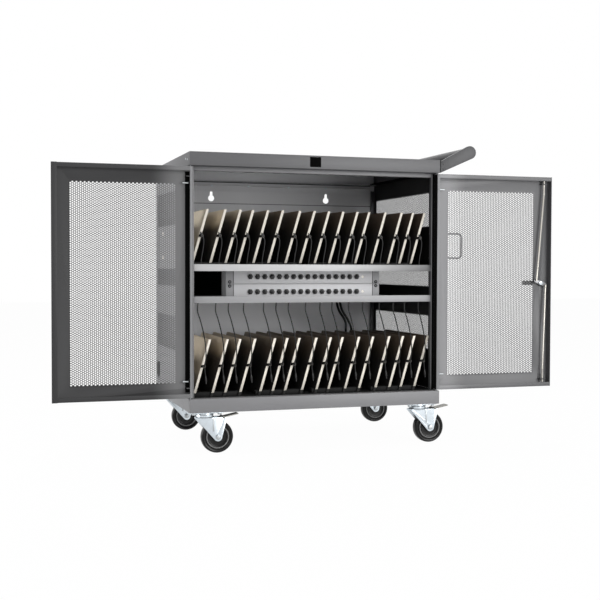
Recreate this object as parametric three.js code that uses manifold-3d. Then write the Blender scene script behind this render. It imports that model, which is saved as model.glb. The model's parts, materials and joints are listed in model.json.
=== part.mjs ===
// Laptop charging cart: a sheet steel cabinet on four swivel casters, with two wide-open doors,
// two rows of leaning dividers, two charging strips between the rows and a push handle.
// Millimetres, +Z up. The origin is on the floor under the middle of the cabinet, front at -Y.
import * as THREE from "three";
import { mergeVertices } from "three/addons/utils/BufferGeometryUtils.js";
import Module from "manifold-3d";

const wasm = await Module();
wasm.setup();

// Cabinet
const BODY_WIDTH = 820;
const BODY_DEPTH = 575;
const CASTER_HEIGHT = 130;
const BASE_HEIGHT = 42;
const CABINET_HEIGHT = 703;
const LID_HEIGHT = 41;
const SHEET = 2;
const FIT = 0.3;
const ROUND_SIDES = 20;
const WIRE_SIDES = 12;
const DISC_SIDES = 28;
const JAMB_WIDTH = 19;
const JAMB_RETURN = 15;
const REAR_FLANGE = 22;
const LID_RETURN = 31;
const PAD_LENGTH = 110;
const PAD_DEPTH = 96;
const HEADER_HEIGHT = 13;
const RAIL_DEPTH = 20;
const REAR_RAIL_DROP = 14;
const KEYHOLE_SPACING = 430;
const KEYHOLE_DROP = 60;
const KEYHOLE_HEAD = 22;
const KEYHOLE_SLOT = 10;
const KEYHOLE_RISE = 24;

// Shelves: the deck's top above the base, and how far the front lip stands over and under it
const LOWER_DECK_RISE = 298;
const LOWER_LIP_OVER = 11;
const UPPER_DECK_RISE = 399;
const UPPER_LIP_OVER = 8;
const LIP_HEIGHT = 21;

// Doors: the pin's axis lies this far inside the hinge edge, half-way through the door's depth
const DOOR_DEPTH = 25;
const DOOR_SHEET = 1.5;
const DOOR_CLEARANCE = 3;
const DOOR_BACK_GAP = 4;
const DOOR_LIP = 13;
const SET_IN = 0.5;
const HINGE_EDGE = 5;
const MEETING_OFFSET = 6;
const MEETING_GAP = 4;
const STRIP_REACH = 15;
const STRIP_GAP = 0.5;
const FIELD_START = 41;
const FIELD_SIDE_ROOM = 93;
const FIELD_RISE = 41;
const FIELD_DROP = 48;
const FIELD_COLUMNS = 7;
const FIELD_ROWS = 12;
const FIELD_BAR = 8;
const PIN_DIAMETER = 5;
const PIN_COLLAR = 6.4;
const PIN_DROP = 50;
const PIN_HANDLE = 24;
const PIN_TIP = 4;
const PIN_TAB_DROP = 28;
const PIN_TAB_WIDTH = 16;

// Lock on the right door: a cam on the handle's spindle drives an upper and a lower rod
const LOCK_HEIGHT = 348;
const LOCK_INSET = 32;
const ROD_INSET = 24;
const ROD_DIAMETER = 6;
const ROD_REST_GAP = 1;
const ROD_PLAY = 1;
const CAM_ARM = 18;
const CAM_WIDTH = 13;
const CAM_THICKNESS = 3;
const CAM_TILT = 160;
const SPINDLE_DIAMETER = 10;
const SPINDLE_LENGTH = 7;
const BOSS_DIAMETER = 30;
const BOSS_LENGTH = 10;
const LEVER_LENGTH = 52;
const LEVER_WIDTH = 14;
const LEVER_THICKNESS = 8;
const GUIDE_DROP = 22;
const GUIDE_WIDTH = 18;
const GUIDE_THICKNESS = 3;
const STRIKE_LENGTH = 20;
const STRIKE_WIDTH = 13;

// Push handle on the right end
const HANDLE_REACH = 106;
const HANDLE_RISE = 51;
const HANDLE_END_RADIUS = 21;
const HANDLE_ROOT = 36;
const HANDLE_ARM_THICKNESS = 14;
const HANDLE_ARM_INSET = 3;
const GRIP_DIAMETER = 34;

// Dividers: units of four leaning panels on two foot rails, set on a raster of slots
const RASTER_MARGIN = 100;
const RASTER_SLOTS = 90;
const UPPER_SLOTS = [0, 7, 13, 18, 24, 30, 37, 43, 49, 55, 61, 66, 73, 80, 85, 90];
const LOWER_SLOTS = [0, 7, 12, 18, 26, 31, 36, 43, 49, 54, 61, 67, 74, 80, 85, 91];
const UPPER_FIRST_SLOT = 10;
const LOWER_FIRST_SLOT = 17;
const UNIT_SIZE = 4;
const DIVIDER_HEIGHT = 176;
const DIVIDER_THICKNESS = 8;
const DIVIDER_BACK_ROOM = 215;
const DIVIDER_SETBACK = 17;
const DIVIDER_LEAN = 0.29;
const FOOT_HEIGHT = 14;
const FOOT_DEPTH = 28;
const FOOT_INSET = 7;
const FOOT_MARGIN = 6;

// Charging strips and what carries them
const STRIP_WIDTH = 474;
const STRIP_HEIGHT = 44;
const STRIP_DEPTH = 90;
const STRIP_SETBACK = 126;
const STRIP_RISE = 2;
const STRIP_SPACING = 45;
const EAR_WIDTH = 24;
const BRACKET_DEPTH = 60;

// Charge cables in the plane just behind the shelf lips, and the two supply cords
const CABLE_DIAMETER = 3.5;
const UPPER_CABLE_STEPS = 6;
const LOWER_CABLE_STEPS = 8;
const CABLE_SIDES = 8;
const GROMMET_DEPTH = 9;
const GROMMET_HEIGHT = 6;
const GROMMET_MARGIN = 4;
const CLIP_RISE = 95;
const CORD_DIAMETER = 8;
const CORD_STEPS = 34;
const CORD_SIDES = 8;
const CORD_HOLE = 34;
const CORD_HOLE_X = 160;
const CORD_HOLE_SETBACK = 35;

// Cable waypoints across and up from the clip; the first of each row starts at the grommet strip
const GROMMET_GRIP = 3;
const UPPER_CABLE_START = -5;
const UPPER_CABLE_PATH = [[-1, -62], [4, -34], [5, -12], [0, 0]];
const LOWER_CABLE_START = [[-20, GROMMET_GRIP], [-21, -26], [-13, -52]];
const LOWER_CABLE_PATH = [[-3, 104], [4, 62], [5, 28], [1, 0], [4, -34]];

// Supply cords: the exit from a strip's back, the line along the back wall and the end at the inlet
const LOWER_CORD = { exit: 136, fromBack: 24, endDrop: -10 };
const UPPER_CORD = { exit: 148, fromBack: 50, endDrop: 10 };
const CORD_LEAD = 14;
const CORD_TURN = 30;
const CORD_FALL = [[40, 30, 44], [84, 85, 86]];
const CORD_BACK = [[128, -62, 130], [140, -24, 190]];
const CORD_RUN = [[0.6, -2, 20], [0.38, 0, 0], [-0.39, 0, -8], [-0.73, -2, -4]];

// Power inlet low at the rear of the left wall, and the wire cord hook on the right wall
const INLET_WIDTH = 29;
const INLET_HEIGHT = 45;
const INLET_DEPTH = 36;
const INLET_RIM = 3;
const INLET_FROM_BACK = 40;
const INLET_RISE = 44;
const HOOK_HEIGHT = 80;
const HOOK_RISE = 430;
const HOOK_FROM_FRONT = 73;
const HOOK_REACH = 110;
const HOOK_BEND = 10;
const HOOK_WIRE = 6;
const HOOK_TAIL = 4;
const HOOK_BEND_POINTS = 5;

// Casters
const CASTER_INSET_X = 56;
const CASTER_INSET_Y = 48;
const PLATE_LENGTH = 100;
const PLATE_DEPTH = 80;
const PLATE_THICKNESS = 3;
const WHEEL_DIAMETER = 100;
const WHEEL_WIDTH = 30;
const TRAIL = 38;
const FORK_SHEET = 2.5;
const FORK_SIDE_GAP = 2.5;
const FORK_CROWN_GAP = 8;
const FORK_TOE = 28;
const FORK_HEEL = 36;
const RACE_DIAMETER = 54;
const AXLE_DIAMETER = 10;
const AXLE_HEAD = 16;
const AXLE_HEAD_LENGTH = 4;
const AXLE_BOSS = 13;
const AXLE_HEAD_SIDES = 6;
const FORK_TAPER = 1.2 * Math.PI;
const WHEEL_HUB = 20;
const WHEEL_DISH = [24, 38];
const WHEEL_RIM = 41;
const WHEEL_DISH_DEPTH = 4;
const WHEEL_RIM_SETBACK = 1;
const TREAD_EDGE = [3, 5];
const WHEEL_SIDES = 26;
const PEDAL_LENGTH = 48;
const PEDAL_WIDTH = 30;
const PEDAL_THICKNESS = 3;
const PEDAL_BARREL = 9;
const PEDAL_PIN = 6;
const PEDAL_PIVOT_X = 17;
const PEDAL_PIVOT_Z = 60;
const PEDAL_RISE = 8;

// Levels and faces worked out from the sizes above
const HALF = BODY_WIDTH / 2;
const SLOT_PITCH = (BODY_WIDTH - RASTER_MARGIN) / RASTER_SLOTS;
const DIVIDER_DEPTH = BODY_DEPTH - DIVIDER_BACK_ROOM;
const FRONT = -BODY_DEPTH / 2;
const BACK = BODY_DEPTH / 2;
const BASE_TOP = CASTER_HEIGHT + BASE_HEIGHT;
const LID_BOTTOM = BASE_TOP + CABINET_HEIGHT;
const LID_TOP = LID_BOTTOM + LID_HEIGHT;
const JAMB_FRONT = FRONT + DOOR_DEPTH + DOOR_BACK_GAP;
const JAMB_INNER = HALF - JAMB_WIDTH;
const WALL_INNER = HALF - SHEET;
const BACK_INNER = BACK - 2 * SHEET - FIT;
const LOWER_DECK = BASE_TOP + LOWER_DECK_RISE;
const UPPER_DECK = BASE_TOP + UPPER_DECK_RISE;
const HINGE_X = HALF - HINGE_EDGE;
const HINGE_Y = FRONT + DOOR_DEPTH / 2;
const DOOR_BOTTOM = BASE_TOP + DOOR_CLEARANCE;
const DOOR_TOP = LID_BOTTOM - DOOR_CLEARANCE;
const RIGHT_DOOR_REACH = HALF + MEETING_OFFSET - HINGE_EDGE;
const LEFT_DOOR_REACH = HALF - MEETING_OFFSET - MEETING_GAP - HINGE_EDGE;
const DOOR_FACE = -DOOR_DEPTH / 2;
const DOOR_TIP = DOOR_DEPTH / 2;
const LOCK_S = RIGHT_DOOR_REACH - LOCK_INSET;
const ROD_S = RIGHT_DOOR_REACH - ROD_INSET;
const LOCK_Z = BASE_TOP + LOCK_HEIGHT;
const CAM_BACK = DOOR_FACE + DOOR_SHEET + SPINDLE_LENGTH + FIT;
const ROD_T = CAM_BACK + CAM_THICKNESS + FIT + ROD_DIAMETER / 2;
const DIVIDER_FRONT = JAMB_FRONT + DIVIDER_SETBACK;
const CABLE_Y = JAMB_FRONT + SHEET + FIT + GROMMET_DEPTH / 2;
const STRIP_FRONT = JAMB_FRONT + STRIP_SETBACK;
const STRIP_BOTTOM = LOWER_DECK + STRIP_RISE;
const CORD_HOLE_Y = STRIP_FRONT + STRIP_DEPTH + CORD_HOLE_SETBACK;
const HANDLE_END_X = HALF + HANDLE_REACH;
const HANDLE_ROOT_Z = LID_BOTTOM + HANDLE_ROOT / 2;
const HOOK_Y = FRONT + HOOK_FROM_FRONT;
const HOOK_BOTTOM = BASE_TOP + HOOK_RISE;
const INLET_Y = BACK - INLET_FROM_BACK;
const INLET_Z = BASE_TOP + INLET_RISE;
const PLATE_BOTTOM = CASTER_HEIGHT - FIT - PLATE_THICKNESS;
const WHEEL_RADIUS = WHEEL_DIAMETER / 2;
const CROWN_BOTTOM = WHEEL_DIAMETER + FORK_CROWN_GAP;

function steel(color, roughness, metalness) {
  return new THREE.MeshStandardMaterial({ color, roughness, metalness });
}


const PAINT = steel(0x55585c, 0.55, 0.2);
const SHELF_PAINT = steel(0xb9bcc0, 0.5, 0.2);
const DIVIDER_COAT = steel(0xcfc4b2, 0.55, 0);
const ZINC = steel(0xc9d0d6, 0.35, 0.85);
const RUBBER = steel(0x232425, 0.8, 0);
const BLACK_PLASTIC = steel(0x1a1b1c, 0.5, 0);
const STRIP_METAL = steel(0x9a9da1, 0.45, 0.3);
const CABLE_JACKET = steel(0x141414, 0.6, 0);
const GRIP_PAINT = steel(0x6d7074, 0.5, 0.2);

function solidOf(geometry) {
  const bare = geometry.clone();
  bare.deleteAttribute("normal");
  bare.deleteAttribute("uv");
  const merged = mergeVertices(bare, 1e-4);
  return new wasm.Manifold(new wasm.Mesh({
    numProp: 3,
    vertProperties: new Float32Array(merged.attributes.position.array),
    triVerts: new Uint32Array(merged.index.array),
  }));
}

function geometryOf(solid) {
  const mesh = solid.getMesh();
  const geometry = new THREE.BufferGeometry();
  geometry.setAttribute("position", new THREE.BufferAttribute(mesh.vertProperties, 3));
  geometry.setIndex(new THREE.BufferAttribute(mesh.triVerts, 1));
  geometry.computeVertexNormals();
  return geometry;
}

const join = (...solids) => solids.reduce((whole, piece) => whole.add(piece));
const cut = (solid, ...holes) => holes.reduce((rest, hole) => rest.subtract(hole), solid);

// A box between two values on each axis, given in either order.
function box(x0, x1, y0, y1, z0, z1) {
  const size = [x1 - x0, y1 - y0, z1 - z0].map(Math.abs);
  return solidOf(new THREE.BoxGeometry(...size).translate((x0 + x1) / 2, (y0 + y1) / 2, (z0 + z1) / 2));
}

// A round bar along an axis, from one value to another on it.
function bar(axis, diameter, from, to, a, b, sides = ROUND_SIDES) {
  const geometry = new THREE.CylinderGeometry(diameter / 2, diameter / 2, Math.abs(to - from), sides);
  const middle = (from + to) / 2;
  if (axis === "x") geometry.rotateZ(-Math.PI / 2).translate(middle, a, b);
  if (axis === "y") geometry.translate(a, middle, b);
  if (axis === "z") geometry.rotateX(Math.PI / 2).translate(a, b, middle);
  return solidOf(geometry);
}

function ball(diameter, x, y, z) {
  return solidOf(new THREE.SphereGeometry(diameter / 2, WIRE_SIDES, WIRE_SIDES / 2).translate(x, y, z));
}

// An outline drawn in X and Z, pushed along Y from y0 to y1.
function profileAlongY(shape, y0, y1, curveSegments = 12) {
  const options = { depth: Math.abs(y1 - y0), bevelEnabled: false, curveSegments };
  const geometry = new THREE.ExtrudeGeometry(shape, options);
  return solidOf(geometry.rotateX(Math.PI / 2).translate(0, Math.max(y0, y1), 0));
}

function polygon(points) {
  return new THREE.Shape(points.map(([x, z]) => new THREE.Vector2(x, z)));
}

// An outline given in X and Y, pushed along Z.
function profileAlongZ(points, z0, z1) {
  const geometry = new THREE.ExtrudeGeometry(polygon(points), { depth: z1 - z0, bevelEnabled: false });
  return solidOf(geometry.translate(0, 0, z0));
}

// A round tube along a smooth curve through the points.
function tube(points, diameter, sides, steps) {
  const ring = Array.from({ length: sides }, (_, i) => {
    const turn = (2 * Math.PI * i) / sides;
    return new THREE.Vector2((diameter / 2) * Math.cos(turn), (diameter / 2) * Math.sin(turn));
  });
  const path = new THREE.CatmullRomCurve3(points.map((p) => new THREE.Vector3(...p)), false, "centripetal");
  const options = { steps, extrudePath: path, bevelEnabled: false };
  return solidOf(new THREE.ExtrudeGeometry(new THREE.Shape(ring), options));
}

const cart = new THREE.Group();

function place(name, solid, material, group = cart) {
  const mesh = new THREE.Mesh(geometryOf(solid), material);
  mesh.name = name;
  group.add(mesh);
  return mesh;
}

// Holes that both the base and the lid have over the closed right door's rods and the hinge pins.
function latchHoles(z0, z1) {
  const rodX = HINGE_X - ROD_S;
  const rodY = HINGE_Y + ROD_T;
  const strike = box(
    rodX - STRIKE_LENGTH / 2, rodX + STRIKE_LENGTH / 2,
    rodY - STRIKE_WIDTH / 2, rodY + STRIKE_WIDTH / 2, z0, z1,
  );
  const pins = [-HINGE_X, HINGE_X].map((x) => bar("z", PIN_DIAMETER + 2 * FIT, z0, z1, x, HINGE_Y));
  return [strike, ...pins];
}

function skirt(z0, z1) {
  return cut(
    box(-HALF, HALF, FRONT, BACK, z0, z1),
    box(-HALF + SHEET, HALF - SHEET, FRONT + SHEET, BACK - SHEET, z0 - 1, z1 + 1),
  );
}

function baseTray() {
  const deck = box(-HALF, HALF, FRONT, BACK, BASE_TOP - SHEET, BASE_TOP);
  const pads = [-1, 1].flatMap((sx) => [-1, 1].map((sy) => box(
    sx * HALF, sx * (HALF - PAD_LENGTH), sy * BACK, sy * (BACK - PAD_DEPTH),
    CASTER_HEIGHT, CASTER_HEIGHT + SHEET,
  )));
  const tray = join(skirt(CASTER_HEIGHT, BASE_TOP), deck, ...pads);
  return cut(tray, ...latchHoles(BASE_TOP - SHEET - 1, BASE_TOP + 1));
}

function topLid() {
  const top = box(-HALF, HALF, FRONT, BACK, LID_TOP - SHEET, LID_TOP);
  const ring = cut(
    box(-HALF, HALF, FRONT, BACK, LID_BOTTOM, LID_BOTTOM + SHEET),
    box(
      -HALF + LID_RETURN, HALF - LID_RETURN, FRONT + LID_RETURN, BACK - LID_RETURN,
      LID_BOTTOM - 1, LID_BOTTOM + SHEET + 1,
    ),
  );
  const pan = join(skirt(LID_BOTTOM, LID_TOP), top, ring);
  return cut(pan, ...latchHoles(LID_BOTTOM - 1, LID_BOTTOM + SHEET + 1));
}

// A side wall with its front jamb and its rear flange; side is -1 for left and 1 for right.
function sideWall(side) {
  const outline = [
    [HALF, JAMB_FRONT], [HALF, BACK], [HALF - REAR_FLANGE, BACK], [HALF - REAR_FLANGE, BACK - SHEET],
    [WALL_INNER, BACK - SHEET], [WALL_INNER, JAMB_FRONT + SHEET], [JAMB_INNER + SHEET, JAMB_FRONT + SHEET],
    [JAMB_INNER + SHEET, JAMB_FRONT + JAMB_RETURN], [JAMB_INNER, JAMB_FRONT + JAMB_RETURN],
    [JAMB_INNER, JAMB_FRONT],
  ];
  const wall = profileAlongZ(outline.map(([x, y]) => [side * x, y]), BASE_TOP + FIT, LID_BOTTOM - FIT);
  const y = side * HOOK_Y;
  const through = [side * (WALL_INNER - 1), side * (HALF + 1)];
  const holes = [HOOK_BOTTOM, HOOK_BOTTOM + HOOK_HEIGHT].map(
    (z) => bar("x", HOOK_WIRE + 2 * FIT, ...through, y, z, WIRE_SIDES),
  );
  return cut(wall, ...holes);
}

function leftWall() {
  const halfWidth = INLET_WIDTH / 2 + FIT;
  const halfHeight = INLET_HEIGHT / 2 + FIT;
  return cut(sideWall(-1), box(
    -HALF - 1, -WALL_INNER + 1,
    INLET_Y - halfWidth, INLET_Y + halfWidth, INLET_Z - halfHeight, INLET_Z + halfHeight,
  ));
}

function backWall() {
  const reach = WALL_INNER - FIT;
  const plate = box(-reach, reach, BACK_INNER, BACK - SHEET - FIT, BASE_TOP + FIT, LID_BOTTOM - FIT);
  const keyholes = [-1, 1].flatMap((side) => {
    const x = (side * KEYHOLE_SPACING) / 2;
    const z = LID_BOTTOM - KEYHOLE_DROP;
    const slot = [x - KEYHOLE_SLOT / 2, x + KEYHOLE_SLOT / 2];
    return [
      bar("y", KEYHOLE_HEAD, BACK_INNER - 1, BACK, x, z),
      box(...slot, BACK_INNER - 1, BACK, z, z + KEYHOLE_RISE),
    ];
  });
  return cut(plate, ...keyholes);
}

// An angle rail: a front leg and a leg that runs back from its lower edge.
function headerRail() {
  const reach = JAMB_INNER - FIT;
  const top = LID_BOTTOM - FIT;
  return join(
    box(-reach, reach, JAMB_FRONT, JAMB_FRONT + SHEET, top - HEADER_HEIGHT, top),
    box(-reach, reach, JAMB_FRONT, JAMB_FRONT + RAIL_DEPTH, top - HEADER_HEIGHT, top - HEADER_HEIGHT + SHEET),
  );
}

function rearRail() {
  const reach = HALF - REAR_FLANGE - FIT;
  const top = LID_BOTTOM - REAR_RAIL_DROP;
  const face = BACK_INNER - FIT;
  return join(
    box(-reach, reach, face - SHEET, face, top - RAIL_DEPTH, top),
    box(-reach, reach, face - RAIL_DEPTH, face, top - SHEET, top),
  );
}

// A shelf with its front lip between the jambs; the hole passes the supply cords.
function shelf(deckTop, lipOver, hole) {
  const wide = WALL_INNER - FIT;
  const narrow = JAMB_INNER - FIT;
  const split = JAMB_FRONT + JAMB_RETURN + FIT;
  const lipTop = deckTop + lipOver;
  const body = join(
    box(-wide, wide, split, BACK_INNER - FIT, deckTop - SHEET, deckTop),
    box(-narrow, narrow, JAMB_FRONT, split + SHEET, deckTop - SHEET, deckTop),
    box(-narrow, narrow, JAMB_FRONT, JAMB_FRONT + SHEET, lipTop - LIP_HEIGHT, lipTop),
  );
  return hole ? cut(body, bar("z", CORD_HOLE, deckTop - SHEET - 1, deckTop + 1, hole[0], hole[1])) : body;
}

// The rounded, rising arm that holds one end of the grip.
function handleArm(y0, y1) {
  const slope = Math.atan2(HANDLE_RISE, HANDLE_REACH);
  const centre = [HANDLE_END_X, HANDLE_ROOT_Z + HANDLE_RISE];
  const outline = new THREE.Shape();
  outline.moveTo(HALF + FIT, HANDLE_ROOT_Z - HANDLE_ROOT / 2);
  outline.absarc(...centre, HANDLE_END_RADIUS, slope - Math.PI / 2, slope + Math.PI / 2, false);
  outline.lineTo(HALF + FIT, HANDLE_ROOT_Z + HANDLE_ROOT / 2);
  outline.closePath();
  return profileAlongY(outline, y0, y1);
}

function buildCabinet() {
  place("base_tray", baseTray(), PAINT);
  place("left_wall", leftWall(), PAINT);
  place("right_wall", sideWall(1), PAINT);
  place("back_wall", backWall(), PAINT);
  place("top_lid", topLid(), PAINT);
  place("header_rail", headerRail(), PAINT);
  place("rear_rail", rearRail(), PAINT);
  place("upper_shelf", shelf(UPPER_DECK, UPPER_LIP_OVER), SHELF_PAINT);
  place("lower_shelf", shelf(LOWER_DECK, LOWER_LIP_OVER, [CORD_HOLE_X, CORD_HOLE_Y]), SHELF_PAINT);
}

function buildHandle() {
  const outer = BACK - HANDLE_ARM_INSET;
  const inner = outer - HANDLE_ARM_THICKNESS;
  const reach = inner - FIT;
  const height = HANDLE_ROOT_Z + HANDLE_RISE;
  const grip = bar("y", GRIP_DIAMETER, -reach, reach, HANDLE_END_X, height, DISC_SIDES);
  place("handle_front_arm", handleArm(-outer, -inner), GRIP_PAINT);
  place("handle_rear_arm", handleArm(inner, outer), GRIP_PAINT);
  place("handle_grip", grip, GRIP_PAINT);
}

// A wire loop whose two ends pass through the right wall.
function cordHook() {
  const start = WALL_INNER - HOOK_TAIL;
  const end = HALF + HOOK_REACH;
  const top = HOOK_BOTTOM + HOOK_HEIGHT;
  const rods = [
    bar("x", HOOK_WIRE, start, end - HOOK_BEND, HOOK_Y, HOOK_BOTTOM, WIRE_SIDES),
    bar("x", HOOK_WIRE, start, end - HOOK_BEND, HOOK_Y, top, WIRE_SIDES),
    bar("z", HOOK_WIRE, HOOK_BOTTOM + HOOK_BEND, top - HOOK_BEND, end, HOOK_Y, WIRE_SIDES),
  ];
  const bends = [[HOOK_BOTTOM, 1], [top, -1]].map(([z, up]) => {
    const points = Array.from({ length: HOOK_BEND_POINTS }, (_, i) => {
      const turn = (i * Math.PI) / 2 / (HOOK_BEND_POINTS - 1);
      const x = end - HOOK_BEND + HOOK_BEND * Math.sin(turn);
      return [x, HOOK_Y, z + up * HOOK_BEND * (1 - Math.cos(turn))];
    });
    return tube(points, HOOK_WIRE, WIRE_SIDES, points.length + 1);
  });
  const elbows = [[end - HOOK_BEND, HOOK_BOTTOM], [end - HOOK_BEND, top],
    [end, HOOK_BOTTOM + HOOK_BEND], [end, top - HOOK_BEND]];
  return join(...rods, ...bends, ...elbows.map(([x, z]) => ball(HOOK_WIRE, x, HOOK_Y, z)));
}

function powerInlet() {
  const halfWidth = INLET_WIDTH / 2;
  const halfHeight = INLET_HEIGHT / 2;
  const face = -HALF - FIT;
  return join(
    box(
      face - INLET_RIM, -HALF + INLET_DEPTH,
      INLET_Y - halfWidth, INLET_Y + halfWidth, INLET_Z - halfHeight, INLET_Z + halfHeight,
    ),
    box(
      face - INLET_RIM, face,
      INLET_Y - halfWidth - INLET_RIM, INLET_Y + halfWidth + INLET_RIM,
      INLET_Z - halfHeight - INLET_RIM, INLET_Z + halfHeight + INLET_RIM,
    ),
  );
}

const dividerFoot = (slots, first) => slots.map((slot) => -HALF + first + slot * SLOT_PITCH);
const upperFeet = dividerFoot(UPPER_SLOTS, UPPER_FIRST_SLOT);
const lowerFeet = dividerFoot(LOWER_SLOTS, LOWER_FIRST_SLOT);

// Leaning panels, given by the left edge of each foot, joined by a front and a rear foot rail.
function dividerUnit(feet, deckTop) {
  const z0 = deckTop + FIT;
  const z1 = z0 + DIVIDER_HEIGHT;
  const shift = DIVIDER_LEAN * DIVIDER_HEIGHT;
  const back = DIVIDER_FRONT + DIVIDER_DEPTH;
  const panels = feet.map((x) => profileAlongY(polygon([
    [x, z0], [x + DIVIDER_THICKNESS, z0], [x + DIVIDER_THICKNESS + shift, z1], [x + shift, z1],
  ]), DIVIDER_FRONT, back));
  const left = feet[0] - FOOT_MARGIN;
  const right = feet[feet.length - 1] + DIVIDER_THICKNESS + FOOT_MARGIN;
  const rails = [DIVIDER_FRONT + FOOT_INSET, back - FOOT_INSET - FOOT_DEPTH].map(
    (y) => box(left, right, y, y + FOOT_DEPTH, z0, z0 + FOOT_HEIGHT),
  );
  return join(...panels, ...rails);
}

function buildDividers() {
  const rows = [["upper", upperFeet, UPPER_DECK], ["lower", lowerFeet, BASE_TOP]];
  for (const [row, feet, deckTop] of rows) {
    for (let start = 0; start < feet.length; start += UNIT_SIZE) {
      const unit = feet.slice(start, start + UNIT_SIZE);
      place(`${row}_dividers_${start / UNIT_SIZE + 1}`, dividerUnit(unit, deckTop), DIVIDER_COAT);
    }
  }
}

// A charging strip: its case behind a front plate whose ears reach past it on both sides.
function chargingStrip(z0) {
  const half = STRIP_WIDTH / 2;
  const z1 = z0 + STRIP_HEIGHT;
  return join(
    box(-half, half, STRIP_FRONT, STRIP_FRONT + STRIP_DEPTH, z0, z1),
    box(-half - EAR_WIDTH, half + EAR_WIDTH, STRIP_FRONT, STRIP_FRONT + SHEET, z0, z1),
  );
}

// The angle that stands on the lower shelf behind the ears on one side.
function rackBracket(side) {
  const near = STRIP_WIDTH / 2 + FIT + SHEET;
  const far = STRIP_WIDTH / 2 + EAR_WIDTH;
  const y0 = STRIP_FRONT + SHEET + FIT;
  const outline = [
    [near, y0], [far, y0], [far, y0 + BRACKET_DEPTH], [far - SHEET, y0 + BRACKET_DEPTH],
    [far - SHEET, y0 + SHEET], [near, y0 + SHEET],
  ];
  return profileAlongZ(outline.map(([x, y]) => [side * x, y]), LOWER_DECK + FIT, UPPER_DECK - SHEET - FIT);
}

function buildStrips() {
  place("lower_charging_strip", chargingStrip(STRIP_BOTTOM), STRIP_METAL);
  place("upper_charging_strip", chargingStrip(STRIP_BOTTOM + STRIP_SPACING), STRIP_METAL);
  place("left_rack_bracket", rackBracket(-1), SHELF_PAINT);
  place("right_rack_bracket", rackBracket(1), SHELF_PAINT);
}

// The grommet strip that a row of charge cables comes out of.
function grommetStrip(z0) {
  const reach = JAMB_INNER - FIT - GROMMET_MARGIN;
  const half = GROMMET_DEPTH / 2;
  return box(-reach, reach, CABLE_Y - half, CABLE_Y + half, z0, z0 + GROMMET_HEIGHT);
}

function cable(points, steps) {
  return tube(points.map(([x, z]) => [x, CABLE_Y, z]), CABLE_DIAMETER, CABLE_SIDES, steps);
}

// Each upper cable rises beside its divider, bows right and ends at the clip on the front edge.
function upperCables() {
  const z0 = UPPER_DECK + FIT;
  const clip = UPPER_DECK + CLIP_RISE;
  const cables = upperFeet.map((foot) => {
    const x = foot + DIVIDER_THICKNESS + DIVIDER_LEAN * CLIP_RISE;
    const rise = UPPER_CABLE_PATH.map(([dx, dz]) => [x + dx, clip + dz]);
    return cable([[x + UPPER_CABLE_START, z0 + GROMMET_GRIP], ...rise], UPPER_CABLE_STEPS);
  });
  return join(grommetStrip(z0), ...cables);
}

// Each lower cable hangs from the shelf, bows left, crosses its divider and ends below the clip.
function lowerCables() {
  const z0 = LOWER_DECK - SHEET - FIT - GROMMET_HEIGHT;
  const clip = BASE_TOP + CLIP_RISE;
  const cables = lowerFeet.map((foot) => {
    const x = foot + DIVIDER_THICKNESS + DIVIDER_LEAN * CLIP_RISE;
    const hang = LOWER_CABLE_START.map(([dx, dz]) => [x + dx, z0 + dz]);
    const tail = LOWER_CABLE_PATH.map(([dx, dz]) => [x + dx, clip + dz]);
    return cable([...hang, ...tail], LOWER_CABLE_STEPS);
  });
  return join(grommetStrip(z0), ...cables);
}

// Both supply cords leave a strip's back, drop through the lower shelf and run along the back.
function supplyCord({ exit, fromBack, endDrop }, z) {
  const rear = BACK_INNER - fromBack;
  const start = STRIP_FRONT + STRIP_DEPTH + FIT;
  const end = -HALF + INLET_DEPTH + FIT;
  const endZ = INLET_Z + endDrop;
  return tube([
    [exit, start, z],
    [exit, start + CORD_LEAD, z],
    [exit + CORD_LEAD, start + CORD_TURN, (z + LOWER_DECK) / 2],
    [exit + CORD_LEAD + SHEET, start + CORD_TURN + SHEET, LOWER_DECK],
    ...CORD_FALL.map(([dx, y, drop]) => [exit + dx, y, LOWER_DECK - drop]),
    ...CORD_BACK.map(([dx, dy, drop]) => [exit + dx, rear + dy, LOWER_DECK - drop]),
    ...CORD_RUN.map(([share, dy, dz]) => [share * HALF, rear + dy, endZ + dz]),
    [end + CORD_TURN, INLET_Y, endZ],
    [end, INLET_Y, endZ],
  ], CORD_DIAMETER, CORD_SIDES, CORD_STEPS);
}

function buildCables() {
  place("upper_cables", upperCables(), CABLE_JACKET);
  place("lower_cables", lowerCables(), CABLE_JACKET);
  const lowerExit = STRIP_BOTTOM + STRIP_HEIGHT / 2;
  const upperExit = lowerExit + STRIP_SPACING;
  place("lower_supply_cord", supplyCord(LOWER_CORD, lowerExit), CABLE_JACKET);
  place("upper_supply_cord", supplyCord(UPPER_CORD, upperExit), CABLE_JACKET);
  place("power_inlet", powerInlet(), BLACK_PLASTIC);
  place("cord_hook", cordHook(), ZINC);
}

// The openings of a door's perforated field, as a plain grid with bars between them.
function fieldOpenings(d) {
  const low = DOOR_BOTTOM + FIELD_RISE;
  const across = (HALF - FIELD_SIDE_ROOM) / FIELD_COLUMNS;
  const up = (DOOR_TOP - FIELD_DROP - low) / FIELD_ROWS;
  const gap = FIELD_BAR / 2;
  return Array.from({ length: FIELD_COLUMNS * FIELD_ROWS }, (_, i) => {
    const s = FIELD_START + (i % FIELD_COLUMNS) * across;
    const z = low + Math.floor(i / FIELD_COLUMNS) * up;
    return box(
      d * (s + gap), d * (s + across - gap), DOOR_FACE - 1, DOOR_FACE + DOOR_SHEET + 1,
      z + gap, z + up - gap,
    );
  });
}

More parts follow.
